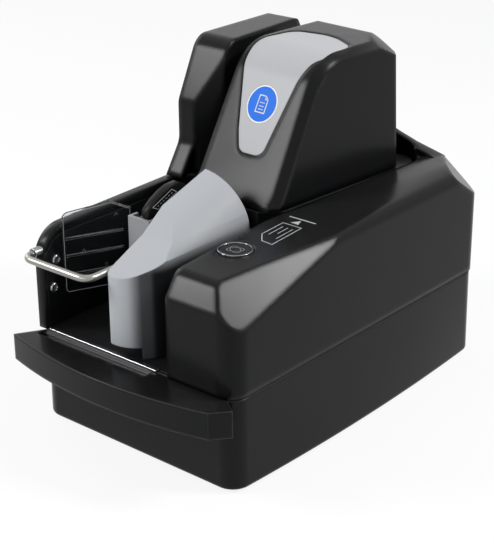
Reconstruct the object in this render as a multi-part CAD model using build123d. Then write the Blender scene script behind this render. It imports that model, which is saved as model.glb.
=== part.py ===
from build123d import *
import math
import os

os.makedirs("parts", exist_ok=True)

# Desktop cheque scanner. Millimetres. +X is the operator's right, -Y faces the operator, +Z is up.
# Every function works in the case frame: its origin is the middle of the base's underside. At export
# all pieces move together, so that the row's origin is the bottom centre of the whole machine's box.

# ---- base ----
case_width = 140.0          # base, across
case_length = 223.0         # base, front to back, without the shelf
base_height = 53.0          # underside to split line; heights above it are given from it
case_corner = 11.0          # vertical corners
side_bow = 4.2              # how far the base's long sides bulge at the bottom
rim_bow = 0.4               # the same at the split line
wall = 2.5                  # moulded casings
base_edge = 2.2             # rounding round the underside
foot_radius = 7.0
foot_stand = 1.5            # how far the feet hold the base off the desk
foot_recess = 1.2
foot_inset_x = 16.0
foot_inset_y = 37.5
shelf_reach = 24.8          # front shelf, ahead of the base
shelf_height = 15.0
shelf_drop = 0.4            # shelf top below the split line
shelf_sag = 9.5             # how much further the middle reaches than the ends
shelf_flare = 4.5           # each end of the shelf beyond the base
shelf_wall = 2.4
shelf_slant = 9.5           # how far back the cut-off right end runs
shelf_cut = 8.0             # and how far in from the end it starts
channel_depth = 3.0         # trough behind the shelf, in front of the exit pocket
channel_width = 6.5
bead_radius = 1.6
bead_drop = 2.8             # bead centre below the split line
bead_left = -65.0
bead_right = 15.0
seam_height = 1.2           # shadow groove round the base's rim
seam_depth = 1.0

# ---- decks ----
deck_thickness = 2.0        # steel deck across the base
deck_clearance = 0.5        # deck to base wall
floor_thickness = 2.5       # moulded track floor on the deck
strip_left = -62.5          # bright wear strip on the front edge
strip_right = 17.0
strip_depth = 3.0
strip_thickness = 0.8
boss_radius = 5.5
boss_bore = 3.8
boss_floor = 5.0            # plastic under the deck that the screw head pulls on
case_screw_radius = 1.6
case_screw_head = 3.3
case_screw_head_height = 2.2
case_screw_grip = 14.0      # thread above the head
screw_slack = 0.1
post_radius = 4.6
post_height = 16.0

# ---- track and wells ----
hopper_right = 26.0         # housing wall beside the entry hopper
track_kink_y = -26.0        # where the hopper becomes the track
track_right_rear = 36.0     # outer track wall at the back right corner
track_rear = 107.5
track_corner = 16.0
track_left = -45.0          # outer track wall on the return leg
exit_start_y = 16.0
exit_flare_y = 4.5
pocket_left = -64.0         # inner face of the exit pocket's far wall
pocket_rear_y = -2.0
track_gap = 3.0
island_front = -24.0
island_top = base_height + 61.0
island_wall = 2.2
island_nose = 10.0          # chamfer that leads documents from the hopper into the track

# ---- upper casing ----
cover_overhang = 0.6
housing_inner_top = base_height + 62.0      # top of the right housing at the track
housing_outer_top = base_height + 66.5      # and near its right edge
left_deck_top = base_height + 59.0          # top of the left block, under the outer cover
pocket_wall_top = base_height + 57.0
pocket_wall_corner = 18.0
housing_front_top = base_height + 45.0      # where the front starts to lean back
housing_brow = 9.0          # how far back the leaning part's upper end lies
housing_brow_top = base_height + 57.6
housing_crest_y = 83.0      # highest part of the roof
housing_crest = base_height + 67.0
housing_rear_top = base_height + 67.5
housing_shoulder = 14.0     # rounded edge along the right of the roof
facet_front = ((-103.5, base_height + 36.5), (-45.0, base_height + 54.5))   # (y, z) on the right side
facet_front_top = (56.0, -80.0, base_height + 60.6)
facet_rear_left = (40.0, base_height + 66.5)    # (x, z) on the back
facet_rear_low = (69.0, base_height + 44.0)
facet_rear_top = (66.0, base_height + 66.5)     # (x, z) at the crest
guard_profile = (           # top of the wall behind the track, as (x, height above the base)
    (-24.0, 88.0), (-4.0, 78.5), (12.0, 72.5), (24.0, 68.7), (44.0, 64.0))
guard_peak = 97.0
guard_right = 44.0
button_x = 36.5
button_y = -70.0
button_top_z = base_height + 60.0           # housing's top at the button
button_radius = 8.0
button_travel = 1.2
button_gap = 0.3
bezel_radius = 9.4
bezel_height = 0.8
bezel_depth = 3.0
switch_height = 4.0
switch_rest = 0.3
switch_post = 2.0
button_coil_radius = 5.5
button_wire = 0.4
button_height = 4.0
button_proud = 0.3
stem_radius = 2.0

# ---- pocket liner, bail and flag ----
liner_thickness = 1.0
liner_gap = 0.2
liner_front = -109.3
liner_top = base_height + 52.6
liner_corner = 14.0
pocket_screw_radius = 1.5
pocket_screw_head = 3.0
pocket_screw_head_height = 1.4
pocket_screw_places = ((-102.3, base_height + 38.5), (-105.0, base_height + 22.8))     # (y, z)
bail_wire = 2.0             # radius of the wire
bail_left_x = -67.4
bail_right_x = -19.6
bail_front_y = -122.0
bail_z = base_height + 45.0
bail_bend = 6.0
bail_left_tail = -84.0
bail_right_tail = -62.0
bail_clip = 4.0             # length of the saddle on the cradle
bail_slack = 0.08
sleeve_radius = 3.0
sleeve_front = -115.5
sleeve_rear = -109.8
flag_hinge_x = -42.0
flag_hinge_y = -61.0
flag_length = 43.0
flag_angle = 25.0           # from straight ahead, towards the far wall
flag_bottom = base_height + 19.0
flag_top = base_height + 65.0
flag_peak = 15.0            # highest point of its top edge, from the hinge
flag_rise = 2.8
flag_fall = 4.5             # top edge at the hinge, below the tip's
flag_thickness = 1.5
flag_pin_radius = 1.0
flag_barrel = 2.4
flag_slack = 0.05
flag_coil = 3.2
flag_coil_radius = 1.9
flag_wire = 0.3
flag_ear = 4.0              # height of each ear that carries the pin
flag_ear_rise = 2.0
flag_ear_drop = 14.0
sensor_eye_y = -64.3
sensor_eye_z = base_height + 22.5

# ---- hood over the printer ----
hood_left = -17.0
hood_right = 9.8
hood_front = -112.5
hood_rear = -26.5
hood_lean = 6.5             # the rear rim leans forward by this towards the crown
hood_bottom = base_height + 7.0
hood_wall = 2.0
hood_shoulder_z = base_height + 54.0  # where the right wall meets the vault
hood_crown_rear = base_height + 83.4
hood_crown_front = base_height + 56.0
hood_crease_z = base_height + 45.5
hood_tab_gap = 0.3
hood_overrun = 3.0          # the vault is drawn this much too long, then cut to its plan
hood_tab_left = 2.5         # tab that reaches down beside the entry
hood_tab_length = 26.0
hood_nose_width = 12.0      # rounded front right corner
hood_nose_depth = 16.0
hood_nose_radius = 18.0
hood_pin_y = -31.5
hood_pin_z = base_height + 54.5
hood_pin_radius = 1.2
hood_pin_slack = 0.06
hood_blind = 0.8            # skin left outside the pin's ends
hood_ear = 3.2

# ---- printer ----
cradle_left = -38.0
cradle_right = -22.4
cradle_front = -72.0
cradle_rear = -33.0
cradle_wall = 1.8
cradle_top = base_height + 61.2
cradle_post = 6.5
cradle_floor = base_height + 6.0
arch_front_z = base_height + 59.0
arch_top_z = base_height + 73.0
arch_x = -31.0
cartridge_gap = 0.4
cartridge_top = base_height + 61.0
latch_hinge_z = base_height + 64.5
latch_hinge_y = -35.5
latch_pin_radius = 1.2
latch_slack = 0.05
latch_thickness = 2.2
latch_gap = 0.5

# ---- centre cover ----
tower_x = 22.3              # its front right foot corner
tower_y = -24.0
tower_turn = 4.0            # degrees, clockwise from above
tower_width = 62.0
tower_depth = 111.0
tower_foot = base_height + 62.0
tower_top = base_height + 138.5
tower_draft = 3.4           # how far the side leans in, foot to top
tower_knee_v = 7.5          # where the steep foot of the front meets the raked part
tower_knee_z = base_height + 70.5
tower_crest_v = 44.0        # where the raked part would meet the top
tower_crown = 28.0
tower_wall = 2.4
tower_bevel = 4.2           # planed edge up the front, over the crown and along the top
badge_recess = 1.4
badge_back = 11.0           # plain cover behind the badge
badge_gap = 0.3
badge_margin = 8.2          # badge to the cover's right foot corner, along the cover
badge_outline = (           # corners (across, up the slope, radius), from the right foot corner
    (-22.5, 71.5, 6.0), (-15.5, 112.5, 30.0), (-12.0, 127.5, 12.0), (-badge_margin, 131.5, 3.0),
    (-badge_margin, 149.5, 7.0), (-31.0, 157.5, 40.0), (-55.5, 153.5, 8.0), (-59.0, 132.5, 30.0),
    (-56.5, 117.5, 30.0), (-44.5, 82.5, 20.0), (-39.0, 71.1, 6.0))
disc_radius = 10.9
disc_u = -34.0              # its middle on the raked front
disc_z = base_height + 110.2
disc_ring = 0.9
disc_thickness = 0.5
lift_post_radius = 3.0
lift_post_height = 22.0
lift_slack = 0.08

# ---- outer cover ----
outer_left = -70.0
outer_front = 4.5
outer_rear = 96.0
outer_top = base_height + 137.0
outer_knee_z = base_height + 78.0    # the foot flares out below this
outer_rake_z = base_height + 101.6   # the front leans back above this
outer_rake = 17.0
outer_inner_front = -45.0   # its track side at the front
outer_inner_rear = -49.0
outer_wall = 2.5
outer_chamfer = 13.0
outer_face_right = -58.5    # where the front face meets its slanted corner
outer_flare = 12.0
outer_back_cut = 8.0        # planed-off rear top edge
outer_back_drop = 14.0
outer_knuckles = (14.0, 26.0, 72.0, 84.0)    # along the hinge: casing, cover, casing, cover
outer_gap = 0.4
outer_hinge_x = -71.9
outer_hinge_radius = 2.2
knuckle_length = 11.0
knuckle_gap = 0.3
outer_pin_radius = 1.2
outer_hinge_slack = 0.06

# ---- drive ----
drive_radius = 9.0
drive_bite = 1.2            # tyre beyond the guide face
shaft_radius = 2.5
hub_radius = 6.0
tyre_low = base_height + 9.0
tyre_high = base_height + 37.0
tyre_height = 10.0
pulley_radius = 7.0
pulley_height = 8.0
pulley_drop = 12.5          # pulleys below the deck
flange = 1.0
belt_thickness = 1.4
belt_slack = 0.06
belt_width = 6.0
shaft_slack = 0.04
bush_radius = 4.5
pinch_radius = 6.0
pinch_low = base_height + 5.0
pinch_high = base_height + 51.0
pinch_axle_radius = 1.5
pinch_boss = 3.5            # boss that holds the axle's upper end
pinch_seat = 4.0            # how far the axle enters it
pinch_root = 1.0            # how far each boss enters the casing's roof
nip_gap = 0.3
window_gap = 0.8
feed_y = -9.0
right_drive_y = 58.0
left_drive_y = 58.0
exit_drive_y = 20.0
motor_x = -4.0
motor_y = 78.0
motor_radius = 16.0
motor_height = 22.0
motor_screw_ring = 12.5
motor_shaft_depth = 6.0
machine_screw_radius = 1.5
machine_screw_grip = 6.0
machine_screw_head = 2.8
machine_screw_head_height = 2.0

# ---- electronics and sensors ----
board_length = 96.0
board_width = 96.0
board_thickness = 1.6
board_z = 8.0
board_gap = 1.0             # board to the rear wall
standoff_inset = 5.0
standoff_radius = 3.0
power_x = -34.0
usb_x = 4.0
socket_half = 5.5
usb_half = 6.0
socket_length = 14.0
socket_gap = 0.3
socket_clearance = 1.5      # board screws to the sockets
head_y = 14.0
head_low = base_height + 3.0
head_high = base_height + 15.0
head_width = 14.0
head_depth = 11.0
head_leaf = 0.8
front_sensor_y = 34.0
rear_sensor_y = 38.5
sensor_gap = 0.3
sensor_depth = 9.0
sensor_width = 12.0
sensor_top = base_height + 55.0
glass_thickness = 1.2
pad_low = base_height + 11.0
pad_high = base_height + 35.0
pad_width = 12.0

case_front = -case_length / 2
case_rear = case_length / 2
case_right = case_width / 2
deck_top = base_height - floor_thickness
deck_bottom = deck_top - deck_thickness
shelf_top = base_height - shelf_drop
shelf_bottom = shelf_top - shelf_height
shelf_half_width = case_right + shelf_flare
pulley_z = deck_bottom - pulley_drop
socket_z = board_z + board_thickness + socket_half
board_y = case_rear - wall - board_gap - board_length / 2
sky = tower_top + 20.0      # above everything
post_places = ((56.0, -92.0), (58.0, 96.0), (-57.0, 96.0), (-57.0, 24.0))
case_place = Pos(0, (shelf_reach - cover_overhang) / 2, foot_stand)


# ---- shape helpers ----

def outline(*corners):
    """Flat face through corners (x, y) or (x, y, radius); a radius rounds its corner."""
    face = make_face(Polyline(*[corner[:2] for corner in corners], close=True)).face()
    for x, y, *radius in corners:
        if radius:
            vertex = face.vertices().sort_by_distance((x, y, 0))[0]
            face = face.fillet_2d(radius[0], [vertex])
    return face


def along_x(face, x0, x1):
    """Extrude a face drawn in (y, z) from x0 to x1."""
    return Plane(origin=(x0, 0, 0), x_dir=(0, 1, 0), z_dir=(1, 0, 0)) * extrude(face, x1 - x0)


def along_y(face, y0, y1):
    """Extrude a face drawn in (x, z) from y0 to y1."""
    return Plane(origin=(0, y1, 0), x_dir=(1, 0, 0), z_dir=(0, -1, 0)) * extrude(face, y1 - y0)


def along_z(face, z0, z1):
    """Extrude a face drawn in (x, y) from z0 to z1."""
    return Pos(0, 0, z0) * extrude(face, z1 - z0)


def block(x0, x1, y0, y1, z0, z1):
    middle = Pos((x0 + x1) / 2, (y0 + y1) / 2, (z0 + z1) / 2)
    return middle * Box(x1 - x0, y1 - y0, z1 - z0)


def rod(x, y, z0, z1, radius):
    """Upright cylinder."""
    return Pos(x, y, (z0 + z1) / 2) * Cylinder(radius, z1 - z0)


def rod_x(x0, x1, y, z, radius):
    return Pos((x0 + x1) / 2, y, z) * Rot(0, 90, 0) * Cylinder(radius, x1 - x0)


def rod_y(x, y0, y1, z, radius):
    return Pos(x, (y0 + y1) / 2, z) * Rot(90, 0, 0) * Cylinder(radius, y1 - y0)


def trimmed(shape, point_a, point_b, point_c, inset=0.0):
    """Cut the corner above the plane through three points, moved inwards by inset."""
    plane = Plane(Face(Wire.make_polygon([point_a, point_b, point_c])))
    if plane.z_dir.Z < 0:
        plane = Plane(origin=plane.origin, z_dir=plane.z_dir * -1)
    plane = plane.offset(-inset)
    return split(shape, bisect_by=plane, keep=Keep.BOTTOM)


# ---- plans that several pieces share ----

def casing_plan(bow, inset=0.0, grow=0.0):
    """Plan of the casing: straight ends, long sides bowed outwards."""
    x = case_right - inset + grow
    y = case_rear - inset + grow
    sides = [
        Line((-x, -y), (x, -y)),
        ThreePointArc((x, -y), (x + bow, 0), (x, y)),
        Line((x, y), (-x, y)),
        ThreePointArc((-x, y), (-x - bow, 0), (-x, -y)),
    ]
    face = make_face(sides).face()
    return face.fillet_2d(case_corner - inset + grow, face.vertices())


def right_track_x(y):
    """Outer wall of the track along its right leg."""
    share = (y - track_kink_y) / (track_rear - track_kink_y)
    return hopper_right + (track_right_rear - hopper_right) * max(0.0, share)


def well_plan(grow):
    """The opening of the upper casing: entry hopper, track and exit pocket in one outline."""
    open_end = case_front - 30.0
    return outline(
        (hopper_right + grow, open_end),
        (hopper_right + grow, track_kink_y),
        (track_right_rear + grow, track_rear + grow, track_corner + grow),
        (track_left - grow, track_rear + grow, track_corner + grow),
        (track_left - grow, exit_start_y + grow),
        (pocket_left - grow + 4.0, exit_flare_y + grow),
        (pocket_left - grow, pocket_rear_y + grow),
        (pocket_left - grow, open_end),
    )


def island_plan(inset=0.0):
    """The block inside the U of the track."""
    right = hopper_right - track_gap - inset
    right_rear = track_right_rear - track_gap - inset
    left = track_left + track_gap + inset
    rear = track_rear - track_gap - inset
    front = island_front + inset
    corner = track_corner - track_gap - inset
    return outline(
        (right - island_nose, front),
        (right, front + island_nose),
        (right_rear, rear, corner),
        (left, rear, corner),
        (left, front),
    )


# ---- base ----

def shelf_plan(inset=0.0):
    """Front shelf: convex front edge, slanted ends that die into the base's front corners."""
    reach = case_front - shelf_reach + inset
    ends = reach + shelf_sag
    x = shelf_half_width - inset
    root = case_right - case_corner / 2 - inset
    back = case_front + wall / 2
    sides = [
        Line((-root, back), (-x, ends)),
        ThreePointArc((-x, ends), (0, reach), (x - shelf_cut, ends)),
        Line((x - shelf_cut, ends), (x, ends + shelf_slant)),
        Line((x, ends + shelf_slant), (root, back)),
        Line((root, back), (-root, back)),
    ]
    return make_face(sides).face()


def front_shelf():
    """Hollow shelf with a trough along the pocket; a bead on the base's wall lies in the trough."""
    shelf = along_z(shelf_plan(), shelf_bottom, shelf_top)
    hollow = along_z(shelf_plan(shelf_wall), shelf_bottom - 1.0, shelf_top - shelf_wall)
    rear = case_front + wall / 2
    low = shelf_top - channel_depth
    hollow -= block(bead_left - shelf_wall, bead_right + shelf_wall,
                    case_front - channel_width - shelf_wall, rear, low - shelf_wall, shelf_top)
    shelf -= hollow
    shelf -= block(bead_left, bead_right, case_front - channel_width, case_front, low, shelf_top + 1.0)
    shelf -= along_z(casing_plan(rim_bow, wall), 0, base_height)
    bead = rod_x(bead_left, bead_right, case_front, base_height - bead_drop, bead_radius)
    return shelf + (bead - block(-case_right, case_right, case_front + wall, case_rear, 0, base_height))


def base_casing():
    outside = loft([casing_plan(side_bow), Pos(0, 0, base_height) * casing_plan(rim_bow)])
    outside = fillet(outside.edges().group_by(Axis.Z)[0], base_edge)
    rim = Pos(0, 0, base_height + 0.01) * casing_plan(rim_bow, wall)
    casing = outside - loft([Pos(0, 0, wall) * casing_plan(side_bow, wall), rim])
    seam = casing_plan(rim_bow, grow=side_bow) - casing_plan(rim_bow, seam_depth)
    casing -= along_z(seam, base_height - seam_height, base_height + 1.0)
    casing += front_shelf()
    for x, y in post_places:
        casing += rod(x, y, 0.5, deck_bottom, boss_radius)
        casing -= rod(x, y, -1.0, deck_bottom - boss_floor, boss_bore)
        casing -= rod(x, y, 0, base_height, case_screw_radius + screw_slack)
    for x, y in foot_places():
        casing -= rod(x, y, -1.0, foot_recess, foot_radius + screw_slack)
    for x, half_width, z, half_height in socket_cuts():
        casing -= block(x - half_width, x + half_width, case_rear - 3 * wall, case_rear + wall,
                        z - half_height, z + half_height)
    for x, y in standoff_places():
        casing += rod(x, y, wall - 0.5, board_z, standoff_radius)
        casing -= rod(x, y, board_z + board_thickness - machine_screw_grip, board_z + 1,
                      machine_screw_radius)
    return casing


def foot_places():
    x = case_right - foot_inset_x
    y = case_rear - foot_inset_y
    return [(sx * x, sy * y) for sx in (-1, 1) for sy in (-1, 1)]


def rubber_feet():
    return [rod(x, y, -foot_stand, foot_recess, foot_radius) for x, y in foot_places()]


def case_screws():
    """Four long-reach screws: each pulls the upper casing's post down through the deck."""
    screws = []
    for x, y in post_places:
        seat = deck_bottom - boss_floor
        head = rod(x, y, seat - case_screw_head_height, seat, case_screw_head)
        screws.append(head + rod(x, y, seat, seat + case_screw_grip, case_screw_radius))
    return screws


def deck_plate():
    deck = along_z(casing_plan(rim_bow, wall + deck_clearance), deck_bottom, deck_top)
    for x, y in post_places:
        deck -= rod(x, y, deck_bottom - 1, deck_top + 1, case_screw_radius + screw_slack)
    for x, y in drive_places():
        deck -= rod(x, y, deck_bottom - 1, deck_top + 1, bush_radius)
    deck -= rod(motor_x, motor_y, deck_bottom - 1, deck_top + 1, shaft_radius + 1.0)
    for x, y in motor_screw_places():
        deck -= rod(x, y, deck_bottom - 1, deck_top + 1, machine_screw_radius + screw_slack)
    for x, y in pinch_places():
        deck -= rod(x, y, deck_bottom - 1, deck_top + 1, pinch_axle_radius)
    return deck


def track_floor():
    """Moulded floor under the hopper, the track and the exit pocket."""
    plan = along_z(well_plan(wall), deck_top, base_height)
    floor = plan & along_z(casing_plan(rim_bow, wall + deck_clearance), deck_top, base_height)
    for x, y in drive_places():
        floor -= rod(x, y, deck_top - 1, base_height + 1, bush_radius)
    for x, y in post_places:
        floor -= rod(x, y, deck_top - 1, base_height + 1, post_radius + deck_clearance)
    floor -= rod(motor_x, motor_y, deck_top - 1, base_height + 1, motor_radius + deck_clearance)
    floor -= front_sensor_space(sensor_gap)
    return floor


def floor_strip():
    """Bright wear strip that documents slide over at the pocket's front edge."""
    return block(strip_left, strip_right, case_front + 0.3, case_front + 0.3 + strip_depth,
                 base_height, base_height + strip_thickness)


# ---- upper casing ----

def housing_block(inset=0.0):
    """Right housing: a low box, rounded along the top, with a planed-off corner front and back."""
    right = case_right + cover_overhang - inset
    front = case_front - cover_overhang + inset
    rear = case_rear + cover_overhang - inset
    left = hopper_right - 4.0
    plan = outline((left, front, 0.5), (right, front, case_corner - inset),
                   (right, rear, case_corner - inset), (left, rear, 0.5))
    bottom = base_height - 2 * inset
    shape = along_z(plan, bottom, sky)
    section = outline((left, bottom), (left, housing_inner_top - 0.2 - inset),
                      (hopper_right, housing_inner_top - inset),
                      (right - housing_shoulder, housing_outer_top - inset),
                      (right, housing_outer_top - 3.0 - inset, 7.0), (right, bottom))
    shape &= along_y(section, front - 5.0, rear + 5.0)
    profile = outline((front, bottom), (front, housing_front_top),
                      (front + housing_brow, housing_brow_top - inset, 8.0),
                      (button_y, button_top_z - inset), (track_kink_y, housing_inner_top + 0.5 - inset),
                      (housing_crest_y, housing_crest - inset), (rear, housing_rear_top - inset),
                      (rear, bottom))
    shape &= along_x(profile, left - 5.0, right + 5.0)
    low, high = facet_front
    shape = trimmed(shape, (right + inset, *low), (right + inset, *high), facet_front_top, inset)
    left_x, left_z = facet_rear_left
    low_x, low_z = facet_rear_low
    top_x, top_z = facet_rear_top
    return trimmed(shape, (left_x, rear + inset, left_z), (top_x, housing_crest_y, top_z),
                   (low_x, rear + inset, low_z), inset)


def left_block(inset=0.0):
    """Left block: the pocket's far wall, and the box behind it that carries the outer cover."""
    left = -case_right - cover_overhang + inset
    front = case_front - 0.2 + inset
    rear = case_rear + cover_overhang - inset
    bottom = base_height - 2 * inset
    right = track_left + 3.0
    plan = outline((left, front, 1.0), (right, front), (right, rear), (left, rear, case_corner - inset))
    shape = along_z(plan, bottom, left_deck_top - inset)
    profile = outline((front, bottom), (front, pocket_wall_top - inset, pocket_wall_corner - inset),
                      (exit_flare_y, left_deck_top - inset), (rear, left_deck_top - inset),
                      (rear, bottom))
    return shape & along_x(profile, left - 5.0, right + 5.0)


def rear_guard():
    """Wall behind the track that rises towards the outer cover."""
    left = track_left - 4.0
    top = [(x, base_height + rise) for x, rise in guard_profile]
    section = outline((left, base_height), (left, base_height + guard_peak, 3.0), *top,
                      (guard_right, base_height))
    return along_y(section, track_rear - 4.0, case_rear + cover_overhang)


def upper_casing():
    shell = housing_block() + left_block() + rear_guard()
    shell -= along_z(well_plan(0), base_height - 1.0, sky)
    inner_well = along_z(well_plan(wall), 0, sky)
    void = housing_block(wall) - inner_well
    shell -= void & block(hopper_right, case_width, case_front, case_rear, base_height - 4.0, sky)
    left_void = left_block(wall) - inner_well
    shell -= left_void & block(-case_width, track_left, exit_flare_y + 4.0, case_rear,
                               base_height - 4.0, sky)
    return (shell + casing_bosses()) - casing_holes() - casing_windows()


def casing_bosses():
    """Screw posts with their ribs, pinch axle bosses, switch posts and hinge knuckles."""
    bosses = []
    for x, y in post_places:
        edge = math.copysign(case_right - 0.8, x)
        bosses.append(rod(x, y, deck_top, deck_top + post_height, post_radius))
        bosses.append(block(min(x, edge), max(x, edge), y - 1.2, y + 1.2, base_height + 0.2,
                            deck_top + post_height - 1.0))
    roofs = (housing_inner_top, left_deck_top - wall, left_deck_top - wall)
    for (x, y), roof in zip(pinch_places(), roofs):
        bosses.append(rod(x, y, pinch_high - 1.0, roof + pinch_root, pinch_boss))
    for x, y in switch_post_places():
        bosses.append(rod(x, y, switch_board_top(), button_top_z - 1.0, switch_post))
    for y in outer_knuckles[0::2]:
        bosses.append(knuckle(y, left_deck_top - 6.0))
    return bosses


def casing_holes():
    """Screw, bail, button, axle and hinge bores, and the recess for the pocket's liner."""
    holes = [rod(x, y, deck_top - 1, deck_top + post_height - 3, case_screw_radius + screw_slack)
             for x, y in post_places]
    holes.append(along_x(liner_face(liner_gap), pocket_left - liner_thickness, pocket_left + 1))
    holes += [rod_x(pocket_left - 5.2, pocket_left, y, z, pocket_screw_radius + screw_slack)
              for y, z in pocket_screw_places]
    holes.append(rod_y(bail_left_x, case_front - 2, bail_left_tail + 1, bail_z, bail_wire + bail_slack))
    holes.append(rod_y(bail_left_x, case_front - 2, sleeve_rear, bail_z, sleeve_radius))
    holes.append(rod(button_x, button_y, button_top_z - 8, sky, button_radius + button_gap))
    holes.append(rod(button_x, button_y, button_top_z - bezel_depth, sky, bezel_radius))
    holes += [knuckle_room(y) for y in outer_knuckles[1::2]]
    holes.append(rod_y(outer_hinge_x, -20, 110, outer_hinge_z(), outer_pin_radius + outer_hinge_slack))
    return holes


def casing_windows():
    """Openings in the outer track wall for the pinch rollers, the head and the image sensor."""
    reach = pinch_radius + window_gap
    windows = [rod(x, y, pinch_low - window_gap, pinch_high + window_gap, reach)
               for x, y in pinch_places()]
    windows += [rod(x, y, pinch_high, pinch_high + pinch_seat, pinch_axle_radius)
                for x, y in pinch_places()]
    windows.append(head_space(sensor_gap))
    windows.append(front_sensor_space(sensor_gap))
    windows.append(feed_separator())
    return windows


# ---- places along the drive ----

def drive_places():
    """Feed, right, left and exit shafts, in the order that documents meet them."""
    right = drive_radius - drive_bite
    inner_left = track_left + track_gap
    return [
        (right_track_x(feed_y) - track_gap - right, feed_y),
        (right_track_x(right_drive_y) - track_gap - right, right_drive_y),
        (inner_left + right, left_drive_y),
        (inner_left + right, exit_drive_y),
    ]


def pinch_places():
    """Right, left and exit pinch rollers: each faces its drive tyre across the track."""
    apart = drive_radius + pinch_radius + nip_gap
    sides = (1, -1, -1)
    return [(x + side * apart, y) for (x, y), side in zip(drive_places()[1:], sides)]


def motor_screw_places():
    r = motor_screw_ring
    return [(motor_x - r, motor_y), (motor_x + r, motor_y)]


# ---- track island ----

def track_island():
    """Box inside the U of the track: its sides are the inner guide, its top is the flange below
    the centre cover."""
    island = along_z(island_plan(), base_height, island_top)
    island -= along_z(island_plan(island_wall), base_height - 1, island_top - island_wall)
    for x, y in drive_places():
        for z in (tyre_low, tyre_high):
            island -= rod(x, y, z - window_gap, z + tyre_height + window_gap,
                          drive_radius + window_gap)
        island -= rod(x, y, island_top - 5, island_top + 1, bush_radius)
        island += rod(x, y, island_top - 5, island_top, bush_radius + 2.5)
        island -= rod(x, y, island_top - 6, island_top + 1, bush_radius)
    for x, y in lift_places():
        island += rod(x, y, island_top - 0.5, island_top + lift_post_height, lift_post_radius)
    for x0, x1 in ear_spans():
        ear = outline((island_front + 1.0, hood_pin_z - 19.5), (island_front + 1.0, hood_pin_z - 1.5),
                      (hood_pin_y + hood_ear, hood_pin_z + hood_ear),
                      (hood_pin_y - hood_ear, hood_pin_z + hood_ear, 2.5),
                      (hood_pin_y - hood_ear, hood_pin_z - hood_ear, 2.5))
        island += along_x(ear, x0, x1)
    island -= rod_x(hood_left - 5, hood_right + 5, hood_pin_y, hood_pin_z, hood_pin_radius)
    return island - rear_sensor_space(sensor_gap)


def ear_spans():
    """The two ears that carry the hood's pin, just inside its side walls."""
    gap = 0.8
    thick = 3.0
    left = hood_left + hood_wall + gap
    right = hood_right - hood_wall - gap
    return [(left, left + thick), (right - thick, right)]


def lift_places():
    """Posts that the centre cover drops onto, as (x, y)."""
    return [tower_to_case(-28.0, 22.0), tower_to_case(-26.0, 92.0)]


def tower_to_case(u, v):
    angle = math.radians(-tower_turn)
    x = tower_x + u * math.cos(angle) - v * math.sin(angle)
    y = tower_y + u * math.sin(angle) + v * math.cos(angle)
    return x, y


def tower_place():
    return Pos(tower_x, tower_y, 0) * Rot(0, 0, -tower_turn)


# ---- centre cover: drawn square, then turned into place ----

def tower_block(inset=0.0):
    """Tall cover: raked and rounded front, leaning right side, planed-off top rear corner."""
    top = tower_top - inset
    foot = tower_foot - 2 * inset
    rise = (tower_top - tower_knee_z) / (tower_crest_v - tower_knee_v)
    knee_v = tower_knee_v + inset * math.hypot(1.0, rise) / rise
    low_rise = (tower_knee_z - tower_foot) / tower_knee_v
    front = inset * math.hypot(1.0, low_rise) / low_rise - (tower_foot - foot) / low_rise
    crest = knee_v + (top - tower_knee_z) / rise
    side = outline((front, foot), (knee_v, tower_knee_z),
                   (crest, top, tower_crown - inset), (tower_depth - inset, top, 7.0 - inset),
                   (tower_depth - inset, foot))
    shape = along_x(side, -tower_width - 5.0, 5.0)
    face = outline((-inset, foot), (-tower_draft - inset, top), (-tower_width + 1.0 + inset, top),
                   (-tower_width + inset, foot))
    shape &= along_y(face, -5.0, tower_depth + 5.0)
    right_side = shape.faces().sort_by(Axis.X)[-1]
    ridge = [edge for edge in right_side.edges() if edge.center().Z > tower_foot + 0.5
             and edge.center().Y < tower_depth - inset - 0.5]
    shape = chamfer(ridge, tower_bevel - 0.6 * inset)
    plan = outline((5.0, -5.0), (5.0, tower_depth - inset), (-inset, tower_depth - inset),
                   (-tower_width + inset, tower_depth - inset, 4.0 - inset), (-tower_width + inset, -5.0))
    shape &= along_z(plan, foot - 1.0, top + 1.0)
    return trimmed(shape, (-24.0, tower_depth, tower_top - 1.0), (-tower_draft, 87.0, tower_top - 1.0),
                   (-1.0, tower_depth, tower_top - 13.5), inset)


def badge_column(grow):
    """The badge's outline carried through the cover, square to its sloping middle."""
    face = outline(*badge_outline)
    if grow:
        face = offset(face, grow)
    along = Plane(origin=(0, 0, base_height), x_dir=(1, 0, 0), z_dir=(0, -1, 1))
    return along * Pos(0, 0, -sky) * extrude(face, 2 * sky)


def badge_zone():
    """Keeps the badge's column off the cover's back."""
    return block(-tower_width, 0, 0, tower_depth - badge_back, tower_foot, sky)


def inner_cover():
    cover = tower_block() - tower_block(tower_wall)
    cover -= block(-tower_width + tower_wall, -tower_wall, 6.0, tower_depth - tower_wall,
                   tower_foot - 6.0, tower_foot + 3.0)
    recess = badge_column(badge_gap) & badge_zone() & tower_block(0.0)
    cover -= recess - tower_block(badge_recess)
    for x, y in lift_places():
        u, v = case_to_tower(x, y)
        cover += (rod(u, v, tower_foot + 0.3, tower_top, lift_post_radius + 2.0)
                  & tower_block(tower_wall - 0.5))
        cover -= rod(u, v, tower_foot - 1, island_top + lift_post_height,
                     lift_post_radius + lift_slack)
    return tower_place() * cover


def case_to_tower(x, y):
    angle = math.radians(tower_turn)
    dx = x - tower_x
    dy = y - tower_y
    return (dx * math.cos(angle) - dy * math.sin(angle), dx * math.sin(angle) + dy * math.cos(angle))


def disc_column(radius):
    """Round column square to the raked front, through the disc's middle."""
    rise = tower_top - tower_knee_z
    run = tower_crest_v - tower_knee_v
    disc_v = tower_knee_v + (disc_z - tower_knee_z) * run / rise
    along = Plane(origin=(disc_u, disc_v, disc_z), x_dir=(1, 0, 0), z_dir=(0, -rise, run))
    return along * Cylinder(radius, 20.0)


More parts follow.
